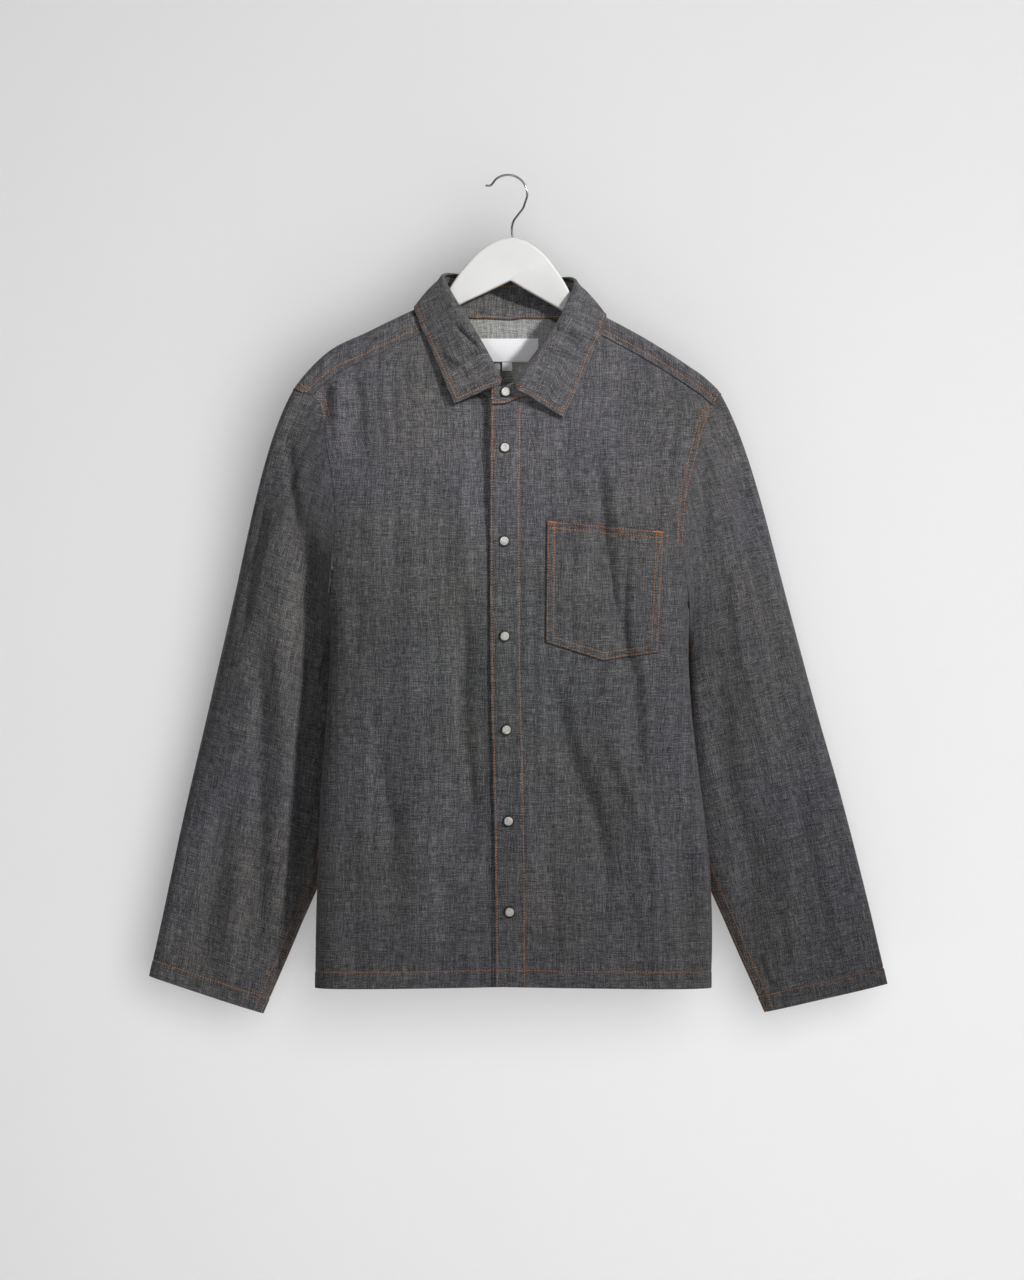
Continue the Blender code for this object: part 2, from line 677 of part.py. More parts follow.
def collar_leaf(collection):
    """The turned-down collar: over the roll and down to its outer edge."""
    turns = np.linspace(0, 1, 33)
    table = curve(COLLAR, turns)
    path = np.gradient(table[:, :2], axis=0)
    path /= np.linalg.norm(path, axis=-1, keepdims=True)
    columns = []
    for (x, y, z, edge_x, drop, height), (run_x, run_y) in zip(table, path):
        roll = np.array((x, y, z))
        out = np.array((run_y, -run_x, 0)) * -1
        crest = roll + out * 0.0022 + np.array((0, 0, 0.0012))
        fall = roll + out * 0.0052 + np.array((0, 0, -0.0030))
        edge = off_body(edge_x, drop, height)
        columns.append([roll, crest, fall] + [lerp(fall, edge, share) for share in (0.33, 0.66, 1)])
    points = np.swapaxes(np.array(columns), 0, 1)
    return sheet("collar_leaf", points, DOUBLE, collection)


def labels(collection):
    """The bare label and its tab, on the inside of the back and the yoke."""
    def patch(name, middle, width, top, height, inward, rows, columns):
        z = np.linspace(top, top - height, rows)[:, None]
        x = middle + np.linspace(width / 2, -width / 2, columns)[None, :]
        points = body("back", x, z)
        points[..., 1] -= inward
        return sheet(name, points, CLOTH, collection, kind="label")
    near = CLOTH + 2 * LAP
    patch("neck_label", 0.0005, LABEL_WIDTH, LABEL_TOP, LABEL_HEIGHT, near, 4, 7)
    patch("size_tab", -0.0010, TAB_WIDTH, LABEL_TOP - LABEL_HEIGHT - LAP, TAB_HEIGHT, near, 3, 3)


def snap(name, x, y, z, slope, collection):
    """A domed snap cap, turned about an axis straight out from a front of the given slope."""
    profile = bmesh.new()
    radius, height = SNAP_RADIUS, SNAP_HEIGHT
    outline = ((0.0, height), (radius * 0.45, height * 0.94), (radius * 0.80, height * 0.74),
               (radius, height * 0.48), (radius, 0.0), (0.0, 0.0))
    corners = [profile.verts.new((across, 0, high)) for across, high in outline]
    for start, end in zip(corners, corners[1:]):
        profile.edges.new((start, end))
    mesh = bpy.data.meshes.new(name)
    profile.to_mesh(mesh)
    profile.free()
    cap = named_object(name, mesh, "snap", collection)
    turn = cap.modifiers.new("turned", "SCREW")
    turn.axis = "Z"
    turn.steps = 16
    turn.render_steps = 16
    turn.use_merge_vertices = True
    turn.merge_threshold = 0.00005
    cap.rotation_euler = (math.radians(90) - math.atan(slope), 0, 0)
    cap.location = (x, y, z)
    return cap


def snaps(collection):
    surface = 1.5 * DOUBLE + CLOTH + 3 * LAP
    top_x = curve(PLACKET_EDGE, TOP_SNAP)[0] + SNAP_INSET
    front = body("front", 0.0, STAND_TAB_FOOT)[1] - TAB_OUT - SNAP_OFF_TAB
    snap("snap_1", top_x, front, TOP_SNAP, 0.0, collection)
    for number, z in enumerate(LOWER_SNAPS, start=2):
        x = curve(PLACKET_EDGE, z)[0] + SNAP_INSET
        above, below = (body("front", x, z + step)[1] for step in (SNAP_RADIUS, -SNAP_RADIUS))
        slope = (above - below) / (2 * SNAP_RADIUS)
        snap(f"snap_{number}", x, (above + below) / 2 - surface, z, slope, collection)


def mesh_from_curve(name, thing):
    """A closed mesh with the curve object's evaluated shape, in world space."""
    bpy.context.view_layer.update()
    ready = thing.evaluated_get(bpy.context.evaluated_depsgraph_get())
    mesh = bpy.data.meshes.new_from_object(ready)
    mesh.name = name
    mesh.transform(thing.matrix_world)
    welded = bmesh.new()
    welded.from_mesh(mesh)
    bmesh.ops.remove_doubles(welded, verts=welded.verts, dist=0.00001)
    welded.to_mesh(mesh)
    welded.free()
    mesh.materials.clear()
    bpy.data.objects.remove(thing)
    return mesh


def hanger_outline():
    """The hanger's outline, smoothed through the half outline and its mirror image."""
    half = np.array(HANGER_HALF)
    run = np.concatenate(([0], np.cumsum(np.linalg.norm(np.diff(half, axis=0), axis=1))))
    table = np.column_stack((run, half))
    fine = curve(table, np.linspace(0, run[-1], 46))
    fine[0, 0] = fine[-1, 0] = 0
    other = fine[-2:0:-1] * (-1, 1)
    return np.vstack((fine, other))


def hanger(collection, cutters):
    flat = bpy.data.curves.new("hanger outline", "CURVE")
    flat.dimensions = "2D"
    flat.fill_mode = "BOTH"
    flat.extrude = HANGER_THICK / 2 - HANGER_EDGE
    flat.bevel_depth = HANGER_EDGE
    flat.bevel_resolution = 1
    flat.offset = -HANGER_EDGE
    outline = hanger_outline()
    spline = flat.splines.new("POLY")
    spline.points.add(len(outline) - 1)
    for point, (x, z) in zip(spline.points, outline):
        point.co = (x, z, 0, 1)
    spline.use_cyclic_u = True
    drawn = bpy.data.objects.new("hanger outline", flat)
    collection.objects.link(drawn)
    drawn.rotation_euler = (math.radians(90), HANGER_TILT, 0)
    drawn.location = (HANGER_MIDDLE, 0, HANGER_TOP)
    made = named_object("hanger_body", mesh_from_curve("hanger_body", drawn), "hanger", collection)

    bore = bmesh.new()
    bmesh.ops.create_cone(bore, cap_ends=True, segments=12, radius1=STEM_BORE, radius2=STEM_BORE,
                          depth=2 * STEM_DEPTH + 0.001)
    mesh = bpy.data.meshes.new("stem bore")
    bore.to_mesh(mesh)
    bore.free()
    cutter = bpy.data.objects.new("stem bore", mesh)
    cutter.location = (HANGER_MIDDLE, 0, HANGER_TOP)
    cutter.hide_render = True
    cutter.display_type = "WIRE"
    cutters.objects.link(cutter)
    cut = made.modifiers.new("stem bore", "BOOLEAN")
    cut.operation = "DIFFERENCE"
    cut.object = cutter


def hook(collection):
    """The wire from inside the hanger up its reverse bend, round the hook and out to the tip."""
    route = [(HANGER_MIDDLE, HANGER_TOP - STEM_DEPTH), (HANGER_MIDDLE, HANGER_TOP)]
    route += list(HOOK_LOWER)
    centre = (0.0, WIRE - HOOK_RADIUS)
    for angle in np.radians(np.linspace(-28, 152, 9)):
        route.append((centre[0] + HOOK_RADIUS * math.cos(angle),
                      centre[1] + HOOK_RADIUS * math.sin(angle)))
    route += list(HOOK_TIP)
    route = np.array(route)
    run = np.concatenate(([0], np.cumsum(np.linalg.norm(np.diff(route, axis=0), axis=1))))
    fine = curve(np.column_stack((run, route)), np.linspace(0, run[-1], 48))
    wire = bpy.data.curves.new("hook wire", "CURVE")
    wire.dimensions = "3D"
    wire.bevel_depth = WIRE
    wire.bevel_resolution = 2
    wire.use_fill_caps = True
    spline = wire.splines.new("POLY")
    spline.points.add(len(fine) - 1)
    for point, (x, z) in zip(spline.points, fine):
        point.co = (x, 0, z, 1)
    drawn = bpy.data.objects.new("hook wire", wire)
    collection.objects.link(drawn)
    mesh = mesh_from_curve("hanger_hook", drawn)
    named_object("hanger_hook", mesh, "hook", collection)


def main():
    for thing in list(bpy.data.objects):
        bpy.data.objects.remove(thing)
    shirt = bpy.data.collections.new("overshirt on hanger")
    cutters = bpy.data.collections.new("cutters")
    for collection in (shirt, cutters):
        bpy.context.scene.collection.children.link(collection)
    hanger(shirt, cutters)
    hook(shirt)
    back_panel(shirt)
    yoke(shirt)
    front_panel("front_right", -1, 10, shirt)
    front_panel("front_left", 1, 10, shirt)
    placket(shirt)
    pocket(shirt)
    sleeve("sleeve_right", -1, SLEEVE_RIGHT, shirt)
    sleeve("sleeve_left", 1, SLEEVE_LEFT, shirt)
    collar_stand(shirt)
    collar_leaf(shirt)
    labels(shirt)
    snaps(shirt)


main()
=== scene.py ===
import json
import math

import bmesh
import bpy
import numpy as np
from mathutils import Matrix, Vector

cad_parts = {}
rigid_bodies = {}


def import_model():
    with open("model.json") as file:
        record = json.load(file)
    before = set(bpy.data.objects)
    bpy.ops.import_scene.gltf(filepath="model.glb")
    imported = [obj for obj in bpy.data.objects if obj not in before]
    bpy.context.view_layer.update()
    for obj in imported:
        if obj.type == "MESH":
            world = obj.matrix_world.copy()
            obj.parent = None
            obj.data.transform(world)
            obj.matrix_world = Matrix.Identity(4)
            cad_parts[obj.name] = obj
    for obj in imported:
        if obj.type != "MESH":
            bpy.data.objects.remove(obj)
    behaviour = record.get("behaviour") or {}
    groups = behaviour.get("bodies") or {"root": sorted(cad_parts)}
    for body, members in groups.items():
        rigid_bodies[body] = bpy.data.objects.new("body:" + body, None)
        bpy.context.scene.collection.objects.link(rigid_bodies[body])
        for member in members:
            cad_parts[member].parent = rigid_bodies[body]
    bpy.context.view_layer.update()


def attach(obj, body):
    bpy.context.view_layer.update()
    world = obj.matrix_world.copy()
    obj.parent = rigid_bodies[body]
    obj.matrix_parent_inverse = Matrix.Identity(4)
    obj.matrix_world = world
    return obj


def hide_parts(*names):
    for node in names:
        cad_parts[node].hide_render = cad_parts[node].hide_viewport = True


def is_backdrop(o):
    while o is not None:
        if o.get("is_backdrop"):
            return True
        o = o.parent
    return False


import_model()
print("frame loaded")

# camera, straight on, as far off as the photo's flat look asks for
cameraSettings = {"place": (0.0043, -4.0, -0.49915), "lens": 104.578, "clipEnd": 40.0}
camera = bpy.data.objects.new("camera", bpy.data.cameras.new("camera"))
bpy.context.scene.collection.objects.link(camera)
camera.data.lens = cameraSettings["lens"]
camera.data.clip_end = cameraSettings["clipEnd"]
camera.location = cameraSettings["place"]
camera.rotation_euler = (math.radians(90), 0, 0)
bpy.context.scene.camera = camera


# ---- small helpers used all through
def curve(table, key):  # smooth curve through a table whose first column is the key
    rows = np.array(table, dtype=float)
    keys, values = rows[:, 0], rows[:, 1:]
    slopes = np.gradient(values, keys, axis=0)
    key = np.clip(np.asarray(key, dtype=float), keys[0], keys[-1])
    place = np.clip(np.searchsorted(keys, key) - 1, 0, len(keys) - 2)
    span = (keys[place + 1] - keys[place])[..., None]
    u = (key[..., None] - keys[place][..., None]) / span
    start, end = values[place], values[place + 1]
    bend = slopes[place] * span * u * (1 - u) ** 2 - slopes[place + 1] * span * u ** 2 * (1 - u)
    return start + (end - start) * u * u * (3 - 2 * u) + bend


def lerp(a, b, u):
    return a + (b - a) * u


def ease(u):
    u = np.clip(u, 0, 1)
    return u * u * (3 - 2 * u)


def hill(away, width):
    return np.exp(-(away / width) ** 2)


def unevenWave(s, size, start):  # smooth, uneven wave of about unit height, the same each run
    s = np.asarray(s, dtype=float) / size * 2 * math.pi
    return (np.sin(s + start) + 0.7 * np.sin(s * 1.73 + start * 2.1) + 0.5 * np.sin(s * 0.61 + start * 0.7)
            + 0.4 * np.sin(s * 2.9 + start * 3.3)) / 1.6


def fineShares(length, step, edge=0.01, fine=0.0011):  # shares of a length, closer together at both ends
    near = np.arange(0, edge, fine)
    middle = np.linspace(edge, length - edge, max(2, int((length - 2 * edge) / step)))
    return np.concatenate((near, middle, length - near[::-1])) / length


def unit(way):
    return way / np.maximum(np.linalg.norm(way, axis=-1, keepdims=True), 1e-12)


def outward(points):  # unit normals of a grid whose rows run down and whose columns run right
    return unit(np.cross(np.gradient(points, axis=0), np.gradient(points, axis=1)))


def raised(points, height):
    return points + outward(points) * height[..., None]


def runOf(points):  # length along each line of points, down the first axis
    steps = np.linalg.norm(np.diff(points, axis=0), axis=-1)
    return np.concatenate((np.zeros_like(steps[:1]), np.cumsum(steps, axis=0)))


def footAndTop(points):  # for each point of a grid, how far it is from the foot and from the top
    foot = runOf(points[::-1])[::-1]
    return foot, foot[:1] - foot


def between(rows, at, keys=None):  # rows at fractional places, on a smooth curve through the given ones
    rows = np.asarray(rows, dtype=float)
    keys = np.arange(len(rows), dtype=float) if keys is None else keys
    return curve(np.column_stack((keys, rows.reshape(len(rows), -1))), at).reshape(len(at), *rows.shape[1:])


creaseShape = {"gain": 2.6, "hollow": 0.45, "fall": 0.85, "ends": 0.22}


def creaseHeight(creases, x, z):
    # each crease, in millimetres: half width, depth, then z and x of its points from the foot upward
    c = creaseShape
    total = np.zeros(np.broadcast(x, z).shape)
    for width, depth, *path in creases:
        points = np.reshape(path, (-1, 2)) / 1000
        off = (x - curve(points, z)[..., 0]) / (width / 1000)
        along = (z - points[0, 0]) / (points[-1, 0] - points[0, 0])
        fade = ease(along / c["ends"]) * ease((1 - along) / c["ends"])
        bulge = (1 - c["hollow"] * off ** 2) * np.exp(-c["fall"] * off ** 2)
        total = total + c["gain"] * depth / 1000 * bulge * fade
    return total


# ---- materials
def node(tree, kind, settings=None, inputs=None):
    made = tree.nodes.new(kind)
    for name, value in (settings or {}).items():
        setattr(made, name, value)
    for name, value in (inputs or {}).items():
        if isinstance(value, bpy.types.NodeSocket):
            tree.links.new(value, made.inputs[name])
        else:
            made.inputs[name].default_value = value
    return made


def newMaterial(name, shaderValues):
    made = bpy.data.materials.new(name)
    made.use_nodes = True
    shader = made.node_tree.nodes["Principled BSDF"]
    for key, value in shaderValues.items():
        shader.inputs[key].default_value = value
    return made, made.node_tree, shader


def ramp(tree, factor, stops):
    made = node(tree, "ShaderNodeValToRGB", inputs={"Fac": factor})
    while len(made.color_ramp.elements) < len(stops):
        made.color_ramp.elements.new(0.5)
    for element, (position, colour) in zip(made.color_ramp.elements, stops):
        element.position = position
        element.color = (*colour, 1)
    return made.outputs["Color"]


def maths(tree, operation, *values):
    return node(tree, "ShaderNodeMath", {"operation": operation}, dict(enumerate(values))).outputs[0]


def noise(tree, place, scale, detail=2.0, distortion=0.0):
    return node(tree, "ShaderNodeTexNoise", None, {
        "Vector": place, "Scale": scale, "Detail": detail, "Distortion": distortion}).outputs["Fac"]


def relief(tree, shader, height, strength, depth):
    bump = node(tree, "ShaderNodeBump", None, {"Height": height, "Strength": strength, "Distance": depth})
    tree.links.new(bump.outputs["Normal"], shader.inputs["Normal"])


def mottled(name, shaderValues, scale, stops, detail=3.0, distortion=0.0, fine=None):
    # a cloudy colour on the object's own metres; fine is a relief's scale, strength and depth
    made, tree, shader = newMaterial(name, shaderValues)
    place = node(tree, "ShaderNodeTexCoord").outputs["Object"]
    colour = ramp(tree, noise(tree, place, scale, detail, distortion), stops)
    tree.links.new(colour, shader.inputs["Base Color"])
    if fine:
        relief(tree, shader, noise(tree, place, fine[0]), *fine[1:])
    return made


def yarnNoise(tree, scale, patch=0):  # flat noise on the cloth's own metres
    place = node(tree, "ShaderNodeUVMap", {"uv_map": "cloth"})
    mapped = node(tree, "ShaderNodeMapping", None, {
        "Vector": place.outputs["UV"], "Scale": scale, "Location": (3.7 * patch, 1.9 * patch, 0)})
    return node(tree, "ShaderNodeTexNoise", {"noise_dimensions": "2D"}, {
        "Vector": mapped.outputs["Vector"], "Scale": 1.0, "Detail": 1.0}).outputs["Fac"]


weaveSettings = {
    "layers": (  # way, scales per metre across and along it, share of the look, patch of the noise
        ("warp", 950, 95, 0.25, 0), ("warp", 700, 30, 0.15, 1), ("warp", 130, 6, 0.11, 2),
        ("weft", 950, 95, 0.23, 3), ("weft", 700, 32, 0.13, 4), ("weft", 130, 9, 0.06, 5),
        ("warp", 1000, 1000, 0.44, 0),
    ),
    "contrast": 2.5,
    "colours": ((0.12, (0.019, 0.019, 0.022)), (0.5, (0.064, 0.063, 0.067)), (0.95, (0.19, 0.187, 0.185))),
    "hues": ((0.35, (0.985, 0.975, 1.05)), (0.65, (1.025, 1.01, 0.965))),
    "greener": 0.55,
    "bump": (0.35, 0.0004),
}
# the reverse side: paler cloth, its colours raised further as painted light for the dim insides of the neck
# and body
insideWeaveWithPaintedLight = dict(weaveSettings, greener=0, colours=(
    (0.12, (0.11, 0.115, 0.108)), (0.5, (0.25, 0.255, 0.245)), (0.95, (0.46, 0.465, 0.455))))


def weaveFactor(tree, settings):  # one number that holds every yarn of the cloth, about 0.5 on average
    total = 0.5
    for way, across, along, share, patch in settings["layers"]:
        scale = (across, along, 1) if way == "warp" else (along, across, 1)
        centred = maths(tree, "SUBTRACT", yarnNoise(tree, scale, patch), 0.5)
        total = maths(tree, "MULTIPLY_ADD", centred, share * settings["contrast"], total)
    return total


def multiplied(tree, amount, colour, tint):
    return node(tree, "ShaderNodeMix", {"data_type": "RGBA", "blend_type": "MULTIPLY"}, {
        0: amount, 6: colour, 7: tint}).outputs[2]


def chambray(name, settings):  # slubby cloth, which turns greener in the middle of the body
    made, tree, shader = newMaterial(name, {
        "Roughness": 0.88, "Specular IOR Level": 0.22, "Sheen Weight": 0.08, "Sheen Roughness": 0.5})
    factor = weaveFactor(tree, settings)
    colour = ramp(tree, factor, settings["colours"])
    place = node(tree, "ShaderNodeTexCoord").outputs["Object"]
    colour = multiplied(tree, 1.0, colour, ramp(tree, noise(tree, place, 7.0), settings["hues"]))
    if settings["greener"]:
        middle = node(tree, "ShaderNodeMapping", None, {
            "Vector": place, "Location": (0.0, 0.0, 2.2), "Scale": (5.0, 3.0, 4.2)})
        ball = node(tree, "ShaderNodeTexGradient", {"gradient_type": "SPHERICAL"}, {
            "Vector": middle.outputs["Vector"]})
        amount = maths(tree, "MULTIPLY", ball.outputs["Fac"], settings["greener"])
        colour = multiplied(tree, amount, colour, (0.86, 0.98, 0.88, 1))
    tree.links.new(colour, shader.inputs["Base Color"])
    relief(tree, shader, factor, *settings["bump"])
    return made


def threadMaterial(name, colour):
    dim = tuple(part * 0.62 for part in colour)
    return mottled(name, {"Roughness": 0.6, "Specular IOR Level": 0.3}, 300.0, ((0.3, dim), (0.68, colour)),
                   detail=2.0, fine=(4000.0, 0.4, 0.0001))


outside = chambray("chambray face", weaveSettings)
openCloth = (outside, chambray("chambray inside", insideWeaveWithPaintedLight))   # the face, then the paler inside, whose colours carry painted light
doubledCloth = (outside, outside)
orangeThread = threadMaterial("orange thread", (0.6, 0.205, 0.022))
tackThread = threadMaterial("bartack thread", (0.8, 0.22, 0.03))


# ---- the body's shape, the same as the solid model's
bodyShape = {
    "roundness": 2.8,
    "flatness": 4.2,
    "fill": 0.26,
    "fold": 0.0075,
    "underarm": -0.478,
    "armholeLow": 0.262,
    "hem": -0.8675,
    "hemSag": 0.005,
    "sections": (  # z, right half, left half, front depth, back depth
        (-0.88, 0.2068, 0.2178, 0.05, 0.042), (-0.8, 0.2058, 0.2188, 0.049, 0.042),
        (-0.732, 0.2035, 0.2155, 0.048, 0.041), (-0.652, 0.2, 0.206, 0.047, 0.04),
        (-0.565, 0.1935, 0.196, 0.048, 0.04), (-0.478, 0.191, 0.1945, 0.05, 0.04),
        (-0.44, 0.196, 0.199, 0.05, 0.039), (-0.4, 0.205, 0.207, 0.049, 0.038),
        (-0.34, 0.216, 0.218, 0.047, 0.036), (-0.24, 0.242, 0.244, 0.044, 0.032),
        (-0.12, 0.26, 0.26, 0.042, 0.028),
    ),
    "shoulder": (  # x, z of the fold
        (-0.26, -0.288), (-0.2475, -0.266), (-0.2335, -0.243), (-0.22, -0.2245), (-0.197, -0.201),
        (-0.149, -0.1755), (-0.101, -0.1525), (-0.07, -0.139), (-0.03, -0.13), (0.03, -0.13),
        (0.07, -0.142), (0.106, -0.161), (0.15, -0.185), (0.1945, -0.2135), (0.212, -0.226),
        (0.23, -0.2455), (0.2415, -0.267), (0.26, -0.298),
    ),
    "armhole": (  # drop, right, left
        (0.0, 0.231, 0.229), (0.015, 0.224, 0.224), (0.035, 0.21, 0.217), (0.06, 0.2, 0.21),
        (0.095, 0.196, 0.202), (0.14, 0.189, 0.192), (0.185, 0.185, 0.188), (0.225, 0.1865, 0.1885),
        (0.262, 0.189, 0.192), (0.293, 0.191, 0.1945),
    ),
    "neck": (  # turn, half width, drop
        (0.0, 0.0, -0.131), (0.14, 0.028, -0.121), (0.3, 0.055, -0.09), (0.46, 0.073, -0.048),
        (0.6, 0.081, -0.006), (0.72, 0.075, 0.014), (0.85, 0.046, 0.0265), (1.0, 0.0, 0.034),
    ),
    "folds": (  # face, x and z of the top and of the bottom, half width, depth
        ("front", -0.052, -0.44, -0.038, -0.73, 0.022, -0.005),
        ("front", -0.165, -0.255, -0.158, -0.33, 0.014, -0.0045),
        ("front", -0.13, -0.56, -0.128, -0.74, 0.024, -0.004),
        ("front", -0.09, -0.6, -0.082, -0.88, 0.03, 0.0035),
        ("front", 0.098, -0.345, 0.15, -0.67, 0.026, -0.0038),
        ("front", 0.048, -0.52, 0.102, -0.74, 0.02, -0.004),
        ("front", 0.104, -0.57, 0.176, -0.89, 0.026, 0.0045),
        ("front", 0.172, -0.66, 0.196, -0.85, 0.014, -0.004),
        ("back", -0.06, -0.3, -0.085, -0.8, 0.03, -0.005),
        ("back", 0.07, -0.28, 0.06, -0.72, 0.026, -0.005),
        ("back", 0.01, -0.42, -0.01, -0.89, 0.034, 0.005),
        ("back", -0.14, -0.56, -0.132, -0.89, 0.022, 0.004),
        ("back", 0.138, -0.52, 0.146, -0.86, 0.024, 0.004),
    ),
    # finer creases, each listed one by one, in millimetres as creaseHeight reads them
    "frontCreases": (
        (8.5, -1.6, -276.8, -160.6, -247.1, -158.4, -213, -166.9),
        (7, 1.2, -290, -180, -250, -182.5, -214.1, -184),
        (7, -1.8, -270, -195, -237.5, -195.7, -218.3, -193.5),
        (8, -1.7, -725.7, -32.9, -675.7, -37.2, -628.9, -43.6, -552.3, -47.8, -504.5, -45.7, -439.6, -49.9),
        (10, -1.5, -760, -129, -693.8, -124.4, -635.3, -137.2, -570, -129),
        (3, -1, -613, -151.8, -600, -152.4, -588, -153.4), (15, 1.4, -830, -105, -740, -100, -650, -108),
        (12, -1.3, -850, -70, -790, -66, -730, -70), (13, -1.2, -860, -170, -790, -166, -700, -172),
        (10, -1.2, -530, -164, -480, -160, -420, -168), (12, 1.2, -490, -105, -420, -101, -350, -106),
        (14, -1.2, -440, -75, -380, -70, -320, -76),
        (11, -3.4, -700, 153, -616.2, 138.3, -535.3, 130.9, -499.1, 121.3, -456.6, 112.8, -398.1, 104.3,
         -350.2, 97.9, -260, 90),
        (5, -1.1, -525, 130, -456.6, 125.6, -390, 127.7),
        (12, -2.7, -780, 104, -743.8, 101.1, -694.9, 93.7, -621.5, 64.9, -523.6, 42.6),
        (11, -3, -860, 197.5, -840.6, 196.8, -768.3, 193.6, -670.4, 176.6),
        (10, 2.1, -830, 172, -791.7, 167, -731, 157.5, -650, 128, -572.5, 99),
        (10, -1.2, -860, 50, -790, 48, -700, 42), (7, -1.1, -870, 140, -820, 138, -760, 129),
        (11, -1.3, -350, 58, -300, 62, -250, 70), (9, 1, -400, 175, -330, 178, -270, 185),
    ),
    "backCreases": (
        (12, -2.2, -780, -118, -650, -110, -520, -116, -390, -130),
        (9, -1.6, -610, -25, -500, -33, -370, -40), (14, 1.7, -860, -52, -760, -45, -640, -42),
        (10, -1.8, -720, 125, -580, 112, -450, 119, -330, 138), (12, -2, -870, 30, -770, 37, -660, 32),
        (8, -1.3, -500, 28, -410, 22, -320, 27), (11, 1.4, -660, 88, -540, 82, -430, 87),
        (6, -1.2, -850, -174, -760, -169, -670, -172), (10, -1.4, -860, 166, -750, 170, -630, 163),
        (4, -0.9, -565, -90, -550, -88.5, -533, -89),
    ),
}


def quarterSection():  # a quarter of the body's section: shares of its arc, and of its half width
    angle = np.linspace(0, math.pi / 2, 3000)
    across, deep = (way(angle) ** (2 / bodyShape["roundness"]) for way in (np.sin, np.cos))
    length = runOf(np.stack((across * bodyShape["flatness"], deep), axis=-1))
    return length / length[-1], across


arcShares, acrossShares = quarterSection()


def halfWidth(x, z):
    right, left = np.moveaxis(curve(bodyShape["sections"], z)[..., :2], -1, 0)
    return np.where(np.asarray(x) < 0, right, left)


def xAt(arc, z):
    return np.sign(arc) * np.interp(np.abs(arc), arcShares, acrossShares) * halfWidth(arc, z)


def arcAt(x, z):
    return np.sign(x) * np.interp(np.abs(x) / halfWidth(x, z), acrossShares, arcShares)


def foldHeight(face, x, z):
    total = np.zeros(np.broadcast(x, z).shape)
    for side, x0, z0, x1, z1, width, depth in bodyShape["folds"]:
        if side == face:
            run = np.array((x1 - x0, z1 - z0))
            length = math.hypot(*run)
            along = ((x - x0) * run[0] + (z - z0) * run[1]) / length ** 2
            off = ((x - x0) * run[1] - (z - z0) * run[0]) / length
            total = total + depth * hill(off, width) * ease(along / 0.3) * ease((1 - along) / 0.3)
    return total + creaseHeight(bodyShape[face + "Creases"], x, z)


def body(face, x, z):
    x, z = np.broadcast_arrays(np.asarray(x, dtype=float), np.asarray(z, dtype=float))
    sizes = curve(bodyShape["sections"], z)
    depth = sizes[..., 2] if face == "front" else sizes[..., 3]
    ratio = np.clip(np.abs(x) / halfWidth(x, z), 0, 1)
    fullness = (1 - ratio ** bodyShape["roundness"]) ** (1 / bodyShape["roundness"])
    drop = np.clip((curve(bodyShape["shoulder"], x)[..., 0] - z) / bodyShape["fill"], 0, 1)
    drop = drop * drop * 1.06 / (drop + 0.06)
    grown = 1 - (1 - drop) ** 2.2
    fold = bodyShape["fold"]
    out = fold + (depth * fullness - fold) * grown + foldHeight(face, x, z) * fullness
    return np.stack((x, -out if face == "front" else out, z), axis=-1)


def onBody(x, drop):  # a point at x and a drop along the cloth from the fold: front below 0, back above
    x, drop = np.broadcast_arrays(np.asarray(x, dtype=float), np.asarray(drop, dtype=float))
    fold = bodyShape["fold"]
    quarter = math.pi / 2 * fold
    top = curve(bodyShape["shoulder"], x)[..., 0]
    below = np.clip(np.abs(drop) - quarter, 0, None)
    front, back = body("front", x, top - below), body("back", x, top - below)
    angle = np.clip(drop, -quarter, quarter) / fold
    over = np.stack((x, fold * np.sin(angle), top + fold * np.cos(angle)), axis=-1)
    flat = np.where((drop < 0)[..., None], front, back)
    return np.where((np.abs(drop) <= quarter)[..., None], over, flat)


def levelAt(x, drop):
    return curve(bodyShape["shoulder"], x)[..., 0] - np.abs(drop) + math.pi / 2 * bodyShape["fold"]


def offBody(x, drop, out):  # a point straight out from the body's cloth
    step = 0.002
    across = onBody(x + step, drop) - onBody(x - step, drop)
    down = onBody(x, drop + step) - onBody(x, drop - step)
    return onBody(x, drop) + unit(np.cross(across, down)) * np.asarray(out)[..., None]


def armholeX(side, drop):
    right, left = np.moveaxis(curve(bodyShape["armhole"], np.abs(drop)), -1, 0)
    return side * (right if side < 0 else left)


# ---- cloth from a grid of points
def metricUv(points, column=0, fromX=False, level=False):  # metres along the rows and up from the foot
    u = runOf(np.swapaxes(points, 0, 1)).T
    u = u - u[:, column:column + 1]
    if fromX:
        u = u + points[:, column:column + 1, 0]
    return np.stack((u, points[..., 2] if level else footAndTop(points)[0]), axis=-1)


def addPiece(name, mesh, materials, solid=None):  # a mesh or a bmesh as a piece on the one body
    if isinstance(mesh, bmesh.types.BMesh):
        made, mesh = mesh, bpy.data.meshes.new(name)
        made.to_mesh(mesh)
        made.free()
    for material in materials:
        mesh.materials.append(material)
    mesh.shade_smooth()
    piece = bpy.data.objects.new(name, mesh)
    bpy.context.scene.collection.objects.link(piece)
    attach(piece, "root")
    if solid:
        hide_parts(solid)
    return piece


